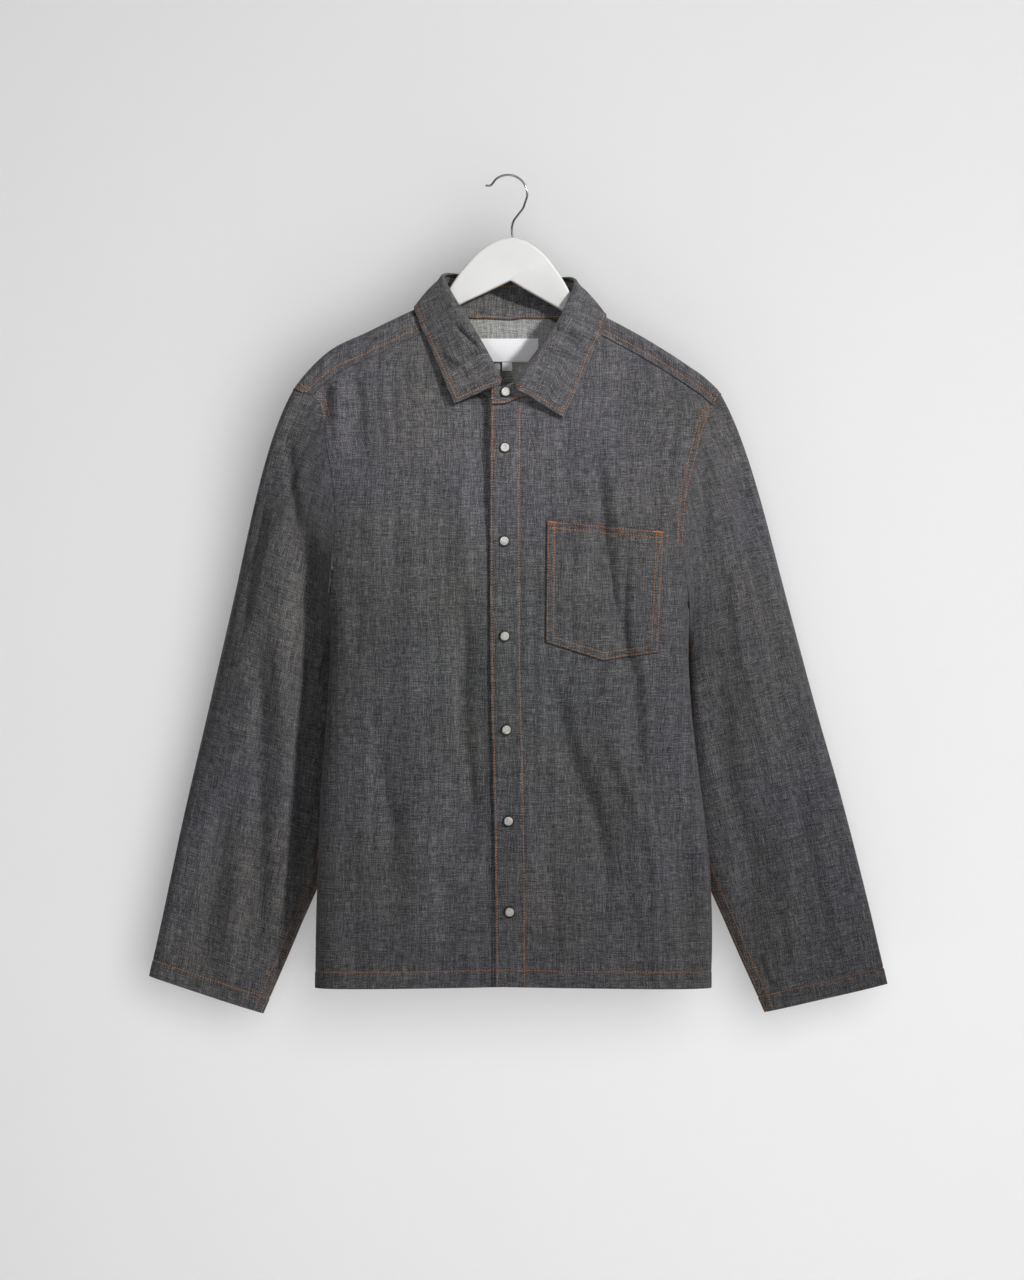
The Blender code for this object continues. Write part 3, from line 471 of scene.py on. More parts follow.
def clothPiece(name, points, uv, thickness, materials=openCloth, closed=False):
    # rows of points run down and columns run to the right as seen from outside
    rows, columns = points.shape[:2]
    grid = bmesh.new()
    bmesh.ops.create_grid(grid, x_segments=columns - 1, y_segments=rows - 1, size=1)
    mesh = bpy.data.meshes.new(name + "_cloth")
    grid.to_mesh(mesh)
    mesh.vertices.foreach_set("co", points[::-1].reshape(-1))
    corner = np.empty(len(mesh.loops), dtype=int)
    mesh.loops.foreach_get("vertex_index", corner)
    layer = mesh.uv_layers.new(name="cloth")
    layer.uv.foreach_set("vector", uv[::-1].reshape(-1, 2)[corner].reshape(-1))
    grid.clear()
    if closed:
        grid.from_mesh(mesh)
        bmesh.ops.remove_doubles(grid, verts=grid.verts, dist=0.000005)
        grid.to_mesh(mesh)
    grid.free()
    piece = addPiece(mesh.name, mesh, materials, name)
    wall = piece.modifiers.new("cloth wall", "SOLIDIFY")
    wall.thickness = thickness
    wall.offset = 0
    wall.material_offset = 1
    wall.material_offset_rim = 0
    return piece


# ---- stitches
stitchSettings = {"pitch": 0.0029, "length": 0.0019, "width": 0.00105, "height": 0.00045, "slant": 0.1}
hemRow = 0.018  # how far a hem's row of stitches is from the foot
twinRows = (0.0016, 0.0078)  # how far the two rows of a lapped seam are from its edge


def stitchTemplate(settings):
    grain = bmesh.new()
    bmesh.ops.create_icosphere(grain, subdivisions=1, radius=0.5)
    corners = np.array([vert.co[:] for vert in grain.verts])
    faces = np.array([[vert.index for vert in face.verts] for face in grain.faces])
    grain.free()
    return corners * (settings["length"], settings["width"], settings["height"]), faces


def stitchPlaces(points, normals, pitch):  # places, ways and normals at an even pitch along a line
    run = runOf(points)
    count = max(int(run[-1] / pitch), 1)
    at = (np.arange(count) + 0.5) * run[-1] / count

    def read(table, places):
        return np.stack([np.interp(places, run, table[:, k]) for k in range(3)], axis=-1)
    near = pitch * 0.3
    return read(points, at), unit(read(points, at + near) - read(points, at - near)), unit(read(normals, at))


def stitches(name, lines, lift, thread=orangeThread, settings=stitchSettings):
    corners, faces = stitchTemplate(settings)
    allCorners, allFaces, count = [], [], 0
    for points, normals in lines:
        place, ahead, normal = stitchPlaces(points, normals, settings["pitch"])
        side = unit(np.cross(normal, ahead))
        number = np.arange(len(place))
        slant = (settings["slant"] + 0.05 * unevenWave(number, 3.7, 1.0))[:, None]
        ahead, side = ahead + side * slant, side - ahead * slant
        size = (1 + 0.1 * unevenWave(number, 2.3, 2.0))[:, None, None]
        block = (corners[None, :, :1] * ahead[:, None] * size + corners[None, :, 1:2] * side[:, None]
                 + corners[None, :, 2:] * normal[:, None]) + (place + normal * lift)[:, None]
        allCorners.append(block.reshape(-1, 3))
        allFaces.append((faces[None] + (number * len(corners))[:, None, None] + count).reshape(-1, 3))
        count += len(place) * len(corners)
    mesh = bpy.data.meshes.new(name)
    mesh.from_pydata(np.vstack(allCorners), [], np.vstack(allFaces))
    return addPiece(name, mesh, [thread])


def sew(piece, lines, lift, cut, tacks=()):  # its stitches and any bartacks; what it was cut to is unpacked but not used
    name = piece.name.removesuffix("_cloth")
    sewnOn = [stitches(name + "_stitches", lines, lift)]
    if tacks:
        sewnOn.append(stitches(name + "_bartacks", tacks, 0.00085, tackThread, pocketSettings["tack"]))
    flat, area = cut


def lineOn(points, rowAt, columnAt):  # a line on a grid at fractional rows and columns, with its normals
    rowAt, columnAt = np.broadcast_arrays(np.asarray(rowAt, float), np.asarray(columnAt, float))
    normals = outward(points)
    i = np.clip(rowAt.astype(int), 0, points.shape[0] - 2)
    j = np.clip(columnAt.astype(int), 0, points.shape[1] - 2)
    a, b = (rowAt - i)[:, None], (columnAt - j)[:, None]

    def read(grid):
        top = lerp(grid[i, j], grid[i, j + 1], b)
        return lerp(top, lerp(grid[i + 1, j], grid[i + 1, j + 1], b), a)
    return read(points), read(normals)


def columnInset(points, distance, fromRight=False, seen=False):  # for each row, the column that far in
    grid = points[:, ::-1] if fromRight else points
    if seen:  # as measured from the front
        grid = grid * (1, 0, 1)
    run = runOf(np.swapaxes(grid, 0, 1)).T
    number = np.arange(grid.shape[1])
    found = np.array([np.interp(distance, row, number) for row in run])
    return grid.shape[1] - 1 - found if fromRight else found


def sideLine(points, distance, fromRight=False, first=0, last=None, seen=False):
    number = np.arange(points.shape[0], dtype=float)[first:last]
    return lineOn(points, number, columnInset(points, distance, fromRight, seen)[first:last])


def levelLine(points, distance, fromFoot=False, first=0, last=None):
    number = np.arange(points.shape[1], dtype=float)[first:last]
    rows = columnInset(np.swapaxes(points, 0, 1), distance, fromFoot)
    return lineOn(points, rows[first:last], number)


def hemRelief(foot, along, depth=0.00045):  # a turned-up hem with its stitched groove
    turnedUp = depth * ease((hemRow - foot) / 0.0014)
    groove = -0.0005 * hill(foot - hemRow, 0.0013)
    pucker = 0.00022 * unevenWave(along, 0.0085, 0.7) * hill(foot - hemRow, 0.0075)
    return turnedUp + groove + pucker


# ---- the two fronts; a side is -1 for the wearer's right and 1 for the left
frontSettings = {
    "cloth": 0.001,
    "lap": 0.0014,
    "lapEnd": 0.05,
    "lapEase": 0.03,
    "dip": 0.0068,
    "dipFoot": -0.43,
    "edge": {-1: 0.012, 1: -0.0165},
    "straightTop": -0.262,
    "yoke": {-1: 0.033, 1: 0.026},
    "tuck": 0.0045,
    "underStand": 0.0045,
    "rowsHidden": {-1: -0.266, 1: -0.402},
    "step": 0.0026,
    "cut": {-1: ((0.262, 0.735), 0.152), 1: ((0.285, 0.735), 0.16)},
}


def frontEdges(side):  # the front's two edges, running up, as arc and height
    s = frontSettings
    seam = s["yoke"][side] + 0.0009 - s["tuck"]
    neck = curve(bodyShape["neck"], np.linspace(0.1, 0.46, 5))
    neckX = side * (neck[:, 0] - s["underStand"] * 0.7)
    neckDrop = np.minimum(neck[:, 1] + s["underStand"], -seam)
    neckDrop[-1] = -seam
    hem, underarm = bodyShape["hem"], bodyShape["underarm"]
    inner = [(arcAt(s["edge"][side], z), z) for z in np.linspace(hem, s["straightTop"], 19)]
    outer = [(side * 1.0, z) for z in np.linspace(hem - bodyShape["hemSag"], underarm, 13)]
    drops = np.linspace(bodyShape["armholeLow"], seam, len(inner) + len(neckX) - len(outer))
    for edge, ways in ((inner, zip(neckX, neckDrop)), (outer, zip(armholeX(side, drops), drops))):
        for x, drop in ways:
            z = levelAt(x, drop)
            edge.append((arcAt(x, z), z))
    return inner, outer


def besidePlacket(x, z):
    high = ease((z - frontSettings["dipFoot"]) / 0.15)
    return ease((-0.012 - x) / 0.012) * ease((x + 0.062) / 0.035) * high


def overLap(points, side):
    s = frontSettings
    out = (0.0 if side < 0 else s["lap"]) * ease((s["lapEnd"] - points[..., 0]) / s["lapEase"])
    return points - np.stack((out * 0, out, out * 0), axis=-1)


def frontGrid(side):
    s = frontSettings
    inner, outer = frontEdges(side)
    last = len(inner) - 1
    at = fineShares(0.66, s["step"], 0.026) * last
    share = fineShares(0.225, s["step"], 0.012)
    rows = []
    for place, (arc0, z0), (arc1, z1) in zip(at, between(inner, at), between(outer, at)):
        follow = float(ease((place - 12) / (last - 12)))
        arc, straight = lerp(arc0, arc1, share), lerp(z0, z1, share)
        z = straight
        for _ in range(4):
            line = curve(bodyShape["shoulder"], xAt(arc, z))[..., 0]
            z = straight + (line - lerp(line[0], line[-1], share)) * follow
        rows.append(overLap(body("front", xAt(arc, z), z), side))
    points = np.array(rows[::-1])
    if side < 0:
        points = points[:, ::-1]
        points[..., 1] += s["dip"] * besidePlacket(points[..., 0], points[..., 2])
    foot, top = footAndTop(points)
    along = points[..., 0]
    out = hemRelief(foot, along) + 0.0002 * unevenWave(along, 0.011, 2.4) * np.exp(-top / 0.012)
    out -= 0.0012 * ease((s["tuck"] + 0.001 - top) / 0.003)  # under the yoke's edge
    return raised(points, out)


def makeFront(name, side):
    s = frontSettings
    points = frontGrid(side)
    placketEdge, sideEdge = (-1, 0) if side < 0 else (0, -1)
    piece = clothPiece(name, points, metricUv(points, placketEdge % points.shape[1], True, True), s["cloth"])
    # the front folds over the sleeve's seam and hides the rows below, soonest on the right
    shown = int(np.argmin(np.abs(points[:, sideEdge, 2] - s["rowsHidden"][side])))
    lines = [levelLine(points, hemRow, True)]
    lines += [sideLine(points, inset, side > 0, 6, shown) for inset in twinRows]
    sew(piece, lines, 0.00062, s["cut"][side])


makeFront("front_right", -1)
makeFront("front_left", 1)
print("fronts made")

# ---- the back, with the same side seams
backSettings = {"cloth": 0.001, "yoke": 0.105, "yokeTip": 0.075, "across": 0.0042, "down": 0.0038,
                "cut": ((0.475, 0.665), 0.27)}


def yokeBackDrop(share):
    return lerp(backSettings["yoke"], backSettings["yokeTip"], np.abs(share) ** 1.6)


def backGrid():
    s = backSettings
    share = fineShares(0.9, s["across"], 0.012) * 2 - 1
    hem, underarm, sag = bodyShape["hem"], bodyShape["underarm"], bodyShape["hemSag"]
    rows = []
    for z in np.linspace(hem - sag, underarm, 12):
        level = z + sag * (1 - share ** 2) * ease((z - underarm) / (hem - underarm))
        rows.append(np.stack((xAt(share, level), level), axis=-1))
    tips = np.linspace(bodyShape["armholeLow"], s["yokeTip"] - 0.0045, 9)
    for number, drop in enumerate(tips):
        left, right = armholeX(-1, drop), armholeX(1, drop)
        x = np.where(share < 0, -left, right) * share
        seam = levelAt(x, yokeBackDrop(share) + drop - s["yokeTip"])
        flat = lerp(levelAt(left, drop), levelAt(right, drop), (share + 1) / 2)
        rows.append(np.stack((x, lerp(flat, seam, float(ease((number + 1) / len(tips))))), axis=-1))
    fine = between(rows, fineShares(0.66, s["down"], 0.026) * (len(rows) - 1))
    points = body("back", fine[..., 0], fine[..., 1])[::-1, ::-1]
    foot, top = footAndTop(points)
    along = points[..., 0]
    out = hemRelief(foot, along) + 0.00035 * unevenWave(along, 0.012, 1.1) * np.exp(-top / 0.014)
    out -= 0.0012 * ease((0.0055 - top) / 0.003)
    return raised(points, out)


def makeBack():
    s = backSettings
    points = backGrid()
    piece = clothPiece("back", points, metricUv(points, points.shape[1] // 2, True, True), s["cloth"])
    lines = [levelLine(points, hemRow, True)]
    lines += [sideLine(points, inset, fromRight, 4) for inset in twinRows for fromRight in (False, True)]
    sew(piece, lines, 0.00062, s["cut"])


makeBack()
print("back made")

# ---- the yoke, over both shoulders and behind the neck
yokeSettings = {"cloth": 0.0011, "backTurn": 0.2, "rise": 0.0006, "frontRow": 0.0064, "backFrom": 0.31,
                "cut": ((0.5, 0.205), 0.05)}


def neckPoint(turn, gap=0.0):  # x and drop on the neck's seam, or outside it
    turn = np.asarray(turn, dtype=float)
    step = 0.01
    way = np.clip(np.abs(turn), 0.0, 1 - step)
    point = curve(bodyShape["neck"], 1 - np.abs(turn))
    ahead = curve(bodyShape["neck"], 1 - way - step) - curve(bodyShape["neck"], 1 - way)
    normal = unit(np.stack((-ahead[..., 1], ahead[..., 0]), axis=-1))
    x, drop = np.moveaxis(point + normal * np.asarray(gap)[..., None], -1, 0)
    return np.where(turn < 0, -1.0, 1.0) * x, drop


def yokeGrid():
    s = yokeSettings
    share = np.linspace(-1, 1, 120)
    rimX = np.where(share < 0, armholeX(-1, backSettings["yokeTip"]), armholeX(1, backSettings["yokeTip"]))
    rim = list(zip(rimX * np.abs(share), yokeBackDrop(share)))
    turns = list(np.linspace(-s["backTurn"], s["backTurn"], len(share)))
    for side, front in frontSettings["yoke"].items():
        drops = np.concatenate((np.linspace(0.073, 0.014, 18), np.linspace(0.012, -0.012, 22),
                                np.linspace(-0.0135, -front, 14)))
        tip = [(armholeX(side, drop), drop) for drop in drops]
        neckDrops = np.minimum(drops, 0.01 + drops / 4)
        table = np.array(bodyShape["neck"])
        tipTurns = side * (1 - np.interp(neckDrops, table[:, 2], table[:, 0]))
        rim = tip[::-1] + rim if side < 0 else rim + tip
        turns = list(tipTurns[::-1]) + turns if side < 0 else turns + list(tipTurns)
    across = fineShares(0.14, 0.0032, 0.01)
    rim = np.array(rim, dtype=float)
    x0, drop0 = neckPoint(np.array(turns), 0.0004)
    drop0 = np.where(rim[:, 1] < 0.01, rim[:, 1], drop0)
    x = lerp(x0[:, None], rim[:, :1], across)
    drop = lerp(drop0[:, None], rim[:, 1:], across)
    points = np.swapaxes(onBody(x, drop), 0, 1)[:, ::-1]
    # the yoke stands a little proud of the panels that it is sewn over
    return points + outward(points) * s["rise"], np.stack((x.T, drop.T), axis=-1)[:, ::-1]


def makeYoke():  # its back edge is the last row, and its front seams are the first and last columns
    s = yokeSettings
    points, uv = yokeGrid()
    piece = clothPiece("yoke", points, uv, s["cloth"])
    end = points.shape[1]
    backFrom = int(end * s["backFrom"])
    lines = [sideLine(points, s["frontRow"], fromRight, 4) for fromRight in (False, True)]
    for first, last in ((backFrom, end - backFrom), (5, backFrom), (end - backFrom, end - 5)):
        lines += [levelLine(points, inset, True, first, last) for inset in twinRows]
    sew(piece, lines, 0.00067, s["cut"])


makeYoke()
print("yoke made")

# ---- the sleeves
sleeveSettings = {
    "cloth": 0.001,
    "around": 130,
    "down": 0.0028,
    "headDrop": 0.293,
    "swell": 0.75,
    "tuck": 0.0085,
    "turnCloth": 0.205,
    "turnFoot": -0.54,
    "rowsHidden": -0.7,
    "cut": ((0.42, 0.64), 0.193),
    "right": {
        "sections": (  # run, x and z of the outer edge and of the inner, half depth, y of the centre
            (0.0, -0.301, -0.471, -0.185, -0.522, 0.038, 0.04),
            (0.25, -0.327, -0.582, -0.186, -0.625, 0.032, 0.046),
            (0.5, -0.3526, -0.6925, -0.196, -0.732, 0.025, 0.045),
            (0.75, -0.374, -0.795, -0.228, -0.815, 0.017, 0.041),
            (1.0, -0.3889, -0.8639, -0.2663, -0.904, 0.009, 0.036),
        ),
        "folds": (  # turn in degrees from the outer edge over the front, first and last run, width, depth
            (70, 0.3, 1.05, 26, -0.005), (118, 0.2, 0.85, 22, 0.004), (250, 0.1, 0.8, 30, -0.005),
        ),
        "front": (  # creases, in millimetres
            (19, -5.8, -820, -236, -760, -224, -650, -217, -500, -212, -420, -220, -330, -230),
            (11, -2.4, -870, -276, -839.5, -272.5, -700, -269, -547, -269.1, -480, -272),
            (9, 1.8, -690, -248, -658.7, -243.5, -547, -243.5, -470, -250),
            (12, -1.4, -870, -335, -770, -318, -660, -308), (9, -1.6, -500, -290, -430, -278, -350, -262),
            (10, 1.3, -880, -308, -800, -296, -720, -290), (7, -1.2, -390, -230, -330, -233, -270, -238),
        ),
        "back": (
            (11, -2, -830, -320, -700, -300, -560, -278), (9, -1.6, -640, -240, -540, -238, -430, -248),
            (12, 1.4, -780, -256, -680, -248, -570, -250),
        ),
    },
    "left": {
        "sections": (
            (0.0, 0.3044, -0.4661, 0.189, -0.522, 0.038, 0.03),
            (0.25, 0.3344, -0.5765, 0.193, -0.625, 0.032, 0.034),
            (0.5, 0.3626, -0.6756, 0.204, -0.725, 0.025, 0.034),
            (0.75, 0.389, -0.78, 0.239, -0.813, 0.017, 0.031),
            (1.0, 0.4102, -0.8715, 0.2786, -0.9018, 0.009, 0.028),
        ),
        "folds": (
            (60, 0.05, 0.6, 24, -0.0045), (152, -0.1, 0.62, 22, 0.012), (96, 0.45, 1.05, 26, -0.005),
            (290, 0.15, 0.9, 30, -0.005),
        ),
        "front": (
            (7, -1.8, -420, 212, -385.3, 211.4, -293.9, 211.4, -260, 220),
            (12, -2.4, -560, 298, -489.6, 289.4, -408.7, 267, -288.5, 243.6),
            (13, -2.2, -880, 285, -811.9, 267, -727.8, 258.5, -644.9, 239.4, -569.4, 230.9, -490, 230),
            (10, 1.6, -660, 282, -580, 268, -490, 250, -400, 238),
            (6, -1.4, -880, 288, -864, 279, -835, 270), (10, -1.4, -850, 350, -750, 330, -640, 312),
            (12, 1.4, -860, 318, -770, 302, -670, 292),
        ),
        "back": (
            (12, -2, -820, 325, -690, 302, -550, 278), (9, -1.5, -630, 248, -520, 242, -420, 250),
            (11, 1.5, -760, 268, -650, 256, -550, 250),
        ),
    },
}


def sleeveRing(side, share, turn, tuck):  # the armhole's ring, or a ring tucked inside the body's edge
    low, end = bodyShape["armholeLow"], sleeveSettings["headDrop"]
    drop = share * end * np.where(np.sin(turn) >= 0, -1, 1)
    x = armholeX(side, drop) + side * (0.0006 - tuck)
    ring = offBody(x, drop, np.full(len(turn), -0.0012 if tuck else 0.0))
    under = ring.copy()
    under[:, 0] = side * (halfWidth(side, bodyShape["underarm"]) + 0.0011 - tuck)
    under[:, 1] *= np.clip((0.3 - np.abs(drop)) / 0.05, 0, 1)
    below = np.clip((np.abs(drop) - low) / (end - low), 0, 1)
    under[:, 2] += (bodyShape["underarm"] - levelAt(armholeX(side, end), end)) * below - 0.0006
    return lerp(ring, under, ease((np.abs(drop) - 0.225) / 0.05)[:, None])


def sleeveSection(side, shape, run, turn):
    outerX, outerZ, innerX, innerZ, deep, centreY = curve(shape["sections"], run)
    outer, inner = np.array((outerX, centreY, outerZ)), np.array((innerX, centreY, innerZ))
    cosine, sine = np.cos(turn)[:, None], np.sin(turn)[:, None]
    degrees = np.degrees(turn) % 360
    folds = np.zeros(len(turn))
    for at, first, last, width, depth in shape["folds"]:
        along = (run - first) / (last - first)
        fade = float(ease(along / 0.3) * ease((1 - along) / 0.25))
        folds += depth * fade * hill(degrees - at, width)
    flat = np.abs(cosine) ** 0.9 * np.sign(cosine)
    return (outer + inner) / 2 + (outer - inner) / 2 * flat + np.array((0, -1, 0)) * sine * (
        deep + folds[:, None])


def sleeveGrid(side, shape):
    s = sleeveSettings
    # columns start at the inner seam and run over the front first
    turn = math.pi - np.linspace(0, 2 * math.pi, s["around"] + 1)
    share = np.abs((turn + math.pi) % (2 * math.pi) - math.pi) / math.pi
    ring = sleeveRing(side, share, turn, 0.0)
    first = sleeveSection(side, shape, 0.0, turn)
    axis = unit(sleeveSection(side, shape, 0.05, turn) - first)
    distance = np.linalg.norm(first - ring, axis=-1, keepdims=True)
    start = unit(lerp(np.array((side * 0.12, 0.15, -0.98)), np.array((side * 0.5, 0, -0.87)),
                      (1 - share)[:, None]))
    rows = [sleeveRing(side, share, turn, tuck) for tuck in (s["tuck"], s["tuck"] * 0.5)]
    for u in np.linspace(0, 1, 64)[:-1]:
        bend = start * s["swell"] * u * (1 - u) ** 2 - axis * u * u * (1 - u)
        rows.append(ring + (first - ring) * u * u * (3 - 2 * u) + bend * distance)
    runs = fineShares(0.4, s["down"], 0.026)
    runs = np.concatenate(([0.0, 0.022, 0.044], runs[runs * 0.4 > 0.026]))
    points = np.array(rows + [sleeveSection(side, shape, run, turn) for run in runs])
    if side < 0:
        points, turn = points[:, ::-1], turn[::-1]
    front = np.sin(turn)[None, :]
    x, z = points[..., 0], points[..., 2]
    out = creaseHeight(shape["front"], x, z) * ease(front / 0.45) \
        + creaseHeight(shape["back"], x, z) * ease(-front / 0.45)
    foot, top = footAndTop(points)
    along = (np.arange(points.shape[1])[None, :] + 1) * 0.0022
    out = out * ease(top / 0.05) + hemRelief(foot, along)
    out += 0.0004 * unevenWave(along, 0.012, 0.4) * np.exp(-top / 0.012) * ease(top / 0.006)
    normal = outward(points)
    normal[:, 0] = normal[:, -1] = normal[:, 1] + normal[:, -2]
    return points + unit(normal) * out[..., None]


def makeSleeve(name, side, shape):
    s = sleeveSettings
    points = sleeveGrid(side, shape)
    uv = metricUv(points, points.shape[1] // 2)
    piece = clothPiece(name, points, uv, s["cloth"], (outside, *openCloth), closed=True)
    # the tight turn at the underarm has the outside's cloth on both its sides
    for face in piece.data.polygons:
        x, z = abs(face.center.x), face.center.z
        face.material_index = int(x > s["turnCloth"] or z < s["turnFoot"])
    # above its inner seam's first shown stitch the body hides them
    shown = int(np.argmin(np.abs(points[:, -1 if side < 0 else 0, 2] - s["rowsHidden"])))
    lines = [levelLine(points, hemRow, True)]
    lines += [sideLine(points, inset, side < 0, shown, seen=True) for inset in (0.0024, 0.01)]
    sew(piece, lines, 0.00062, s["cut"])


makeSleeve("sleeve_right", -1, sleeveSettings["right"])
makeSleeve("sleeve_left", 1, sleeveSettings["left"])
print("sleeves made")

# ---- the placket on the left front
placketSettings = {
    "cloth": 0.0016,
    "width": 0.0325,
    "top": -0.249,
    "edge": (  # z, x of its free edge
        (-0.89, -0.0132), (-0.732, -0.0143), (-0.637, -0.0159), (-0.557, -0.018), (-0.457, -0.0191),
        (-0.322, -0.0191), (-0.236, -0.0178),
    ),
    "out": 0.0017,
    "cut": ((0.0325, 0.62), None),
}


def onLeftFront(x, z):
    return overLap(body("front", x, z), 1)


def placketGrid():
    s = placketSettings
    down = fineShares(0.62, 0.0022, 0.024)
    z = lerp(s["top"], bodyShape["hem"], down)[:, None]
    across = np.concatenate((np.linspace(0, 0.0056, 8), np.linspace(0.0067, 0.0268, 15),
                             np.linspace(0.0277, s["width"], 7)))[None, :]
    points = onLeftFront(curve(s["edge"], z)[..., 0] + across, z)
    # the outer fold stands free on the left, and its other side sinks into the stitched seam
    out = s["out"] - 0.0013 * ease((across - (s["width"] - 0.003)) / 0.0028)
    left, right = np.abs(across - 0.0021), np.abs(across - (s["width"] - 0.0021))
    for away, start in ((left, 0.3), (right, 1.9)):
        out = out - 0.00035 * hill(away, 0.0011)
        out = out + 0.00026 * unevenWave(z, 0.0088, start) * hill(away, 0.005)
    out = out + hemRelief(z - bodyShape["hem"], across, 0.0003) + 0.0003 * unevenWave(z, 0.06, 0.8)
    return raised(points, out)


def makePlacket():
    s = placketSettings
    points = placketGrid()
    piece = clothPiece("placket", points, metricUv(points, 0, True, True), s["cloth"], doubledCloth)
    lines = [sideLine(points, 0.0021), sideLine(points, 0.0021, True), levelLine(points, hemRow, True)]
    sew(piece, lines, 0.00094, s["cut"])


makePlacket()

# ---- the pocket
pocketSettings = {
    "cloth": 0.001,
    "top": ((0.0413, -0.3724), (0.1657, -0.3837)),
    "foot": ((0.0398, -0.5013), (0.1011, -0.5209), (0.1595, -0.5122)),
    "wide": 0.124,
    "high": 0.14,
    "out": 0.0025,
    "rows": (0.0017, 0.0083),
    "topRows": (0.0012, 0.0072),
    "gape": 0.0016,
    "tack": {"pitch": 0.00075, "length": 0.0024, "width": 0.00075, "height": 0.00055, "slant": 0.0},
    "cut": ((0.125, 0.165), 0.018),
}
pocketAcross = fineShares(pocketSettings["wide"], 0.002, 0.011)
pocketDown = fineShares(pocketSettings["high"], 0.0022, 0.011)


def pocketGrid():
    s = pocketSettings
    share, down = pocketAcross, pocketDown
    (leftX, leftZ), (rightX, rightZ) = s["top"]
    footX, footZ = (np.interp(share, (0, 0.5, 1), np.array(s["foot"])[:, k]) for k in (0, 1))
    x = lerp(lerp(leftX, rightX, share)[None, :], footX[None, :], down[:, None])
    z = lerp(lerp(leftZ, rightZ, share)[None, :], footZ[None, :], down[:, None])
    points = onLeftFront(x, z)
    left, right = share * s["wide"], (1 - share) * 0.12
    bottom, top = (1 - down)[:, None] * 0.135, down[:, None] * 0.135
    edge = np.minimum(np.minimum(left, right)[None, :], bottom)
    out = s["out"] - 0.0007 * ease(1 - edge / 0.0009)
    for at in s["rows"]:
        out = out - 0.0004 * hill(edge - at, 0.0011)
    out = out - 0.0004 * hill(top - s["topRows"][1], 0.0011) * ease(edge / 0.004)
    out = out + 0.0003 * unevenWave(z + 0.6 * x, 0.0095, 0.9) * hill(edge - 0.005, 0.005)
    out = out + s["gape"] * hill(share - 0.52, 0.26)[None, :] * np.exp(-top / 0.02)
    return raised(points, out)


def makePocket():
    s = pocketSettings
    points = pocketGrid()
    uv = metricUv(points, 0, True, True) + np.array((0.013, 0.007))
    piece = clothPiece("pocket", points, uv, s["cloth"])
    end = points.shape[1]
    lines, tacks = [], []
    for inset in s["rows"]:
        first, last = (int(np.searchsorted(pocketDown * s["high"], at))
                       for at in (s["topRows"][0], s["high"] - inset))
        corner = int(np.searchsorted(pocketAcross * s["wide"], inset))
        lines += [sideLine(points, inset, fromRight, first, last) for fromRight in (False, True)]
        lines.append(levelLine(points, inset, True, corner, end - corner))
    lines += [levelLine(points, inset, False, 2, end - 2) for inset in s["topRows"]]
    for first, last in ((1, 10), (end - 11, end - 1)):
        row, normals = levelLine(points, 0.0014, False, first, last)
        tacks += [(row, normals), (row + (0, 0, 0.0006), normals)]
    sew(piece, lines, 0.00064, s["cut"], tacks=tacks)


makePocket()
print("placket and pocket made")

# ---- the collar's stand and leaf
collarSettings = {
    "cloth": 0.0016,
    "leaf": (  # turn, x, y and z of the roll, x, drop and height of the edge
        (0.0, -0.0066, -0.042, -0.223, -0.0568, -0.1262, 0.0095),
        (0.1, -0.024, -0.037, -0.189, -0.0705, -0.088, 0.007),
        (0.2, -0.043, -0.027, -0.156, -0.085, -0.0473, 0.0045),
        (0.29, -0.0605, -0.014, -0.127, -0.0955, -0.0183, 0.004),
        (0.36, -0.068, 0.004, -0.107, -0.097, 0.0, 0.004),
        (0.43, -0.044, 0.022, -0.106, -0.064, 0.023, 0.006),
        (0.5, 0.001, 0.029, -0.109, 0.001, 0.0348, 0.008),
        (0.57, 0.046, 0.023, -0.109, 0.068, 0.0225, 0.006), (0.64, 0.07, 0.004, -0.112, 0.101, 0.0, 0.004),
        (0.71, 0.0645, -0.014, -0.135, 0.102, -0.019, 0.004),
        (0.8, 0.0455, -0.027, -0.172, 0.088, -0.058, 0.004),
        (0.9, 0.024, -0.037, -0.201, 0.0755, -0.099, 0.0045),
        (1.0, 0.0068, -0.044, -0.2282, 0.0582, -0.1372, 0.006),
    ),
    "belowRoll": 0.0035,
    "lap": 0.0022,
    "tabEnd": 0.0178,
    "tabHeight": 0.019,
    "tabFoot": -0.2475,
    "tabOut": 0.0034,
    "belly": 0.0012,
    "row": 0.0046,
    "creases": (  # in millimetres, with points x and z from left to right
        (2.8, -2.5, 44, -162, 50, -166, 64, -172.5, 80, -179),
        (4, -1.2, -58, -164, -48.9, -170.5, -40, -180, -30, -190), (6, 1, -70, -190, -56, -200, -38, -206),
        (5, -1.5, 38, -190, 56, -196, 76, -200),
    ),
    "leafLong": 0.47,
    "leafHigh": 0.06,
    "leafCut": ((0.47, 0.08), 0.0258),
    "standCut": ((0.45, 0.042), 0.0171),
}


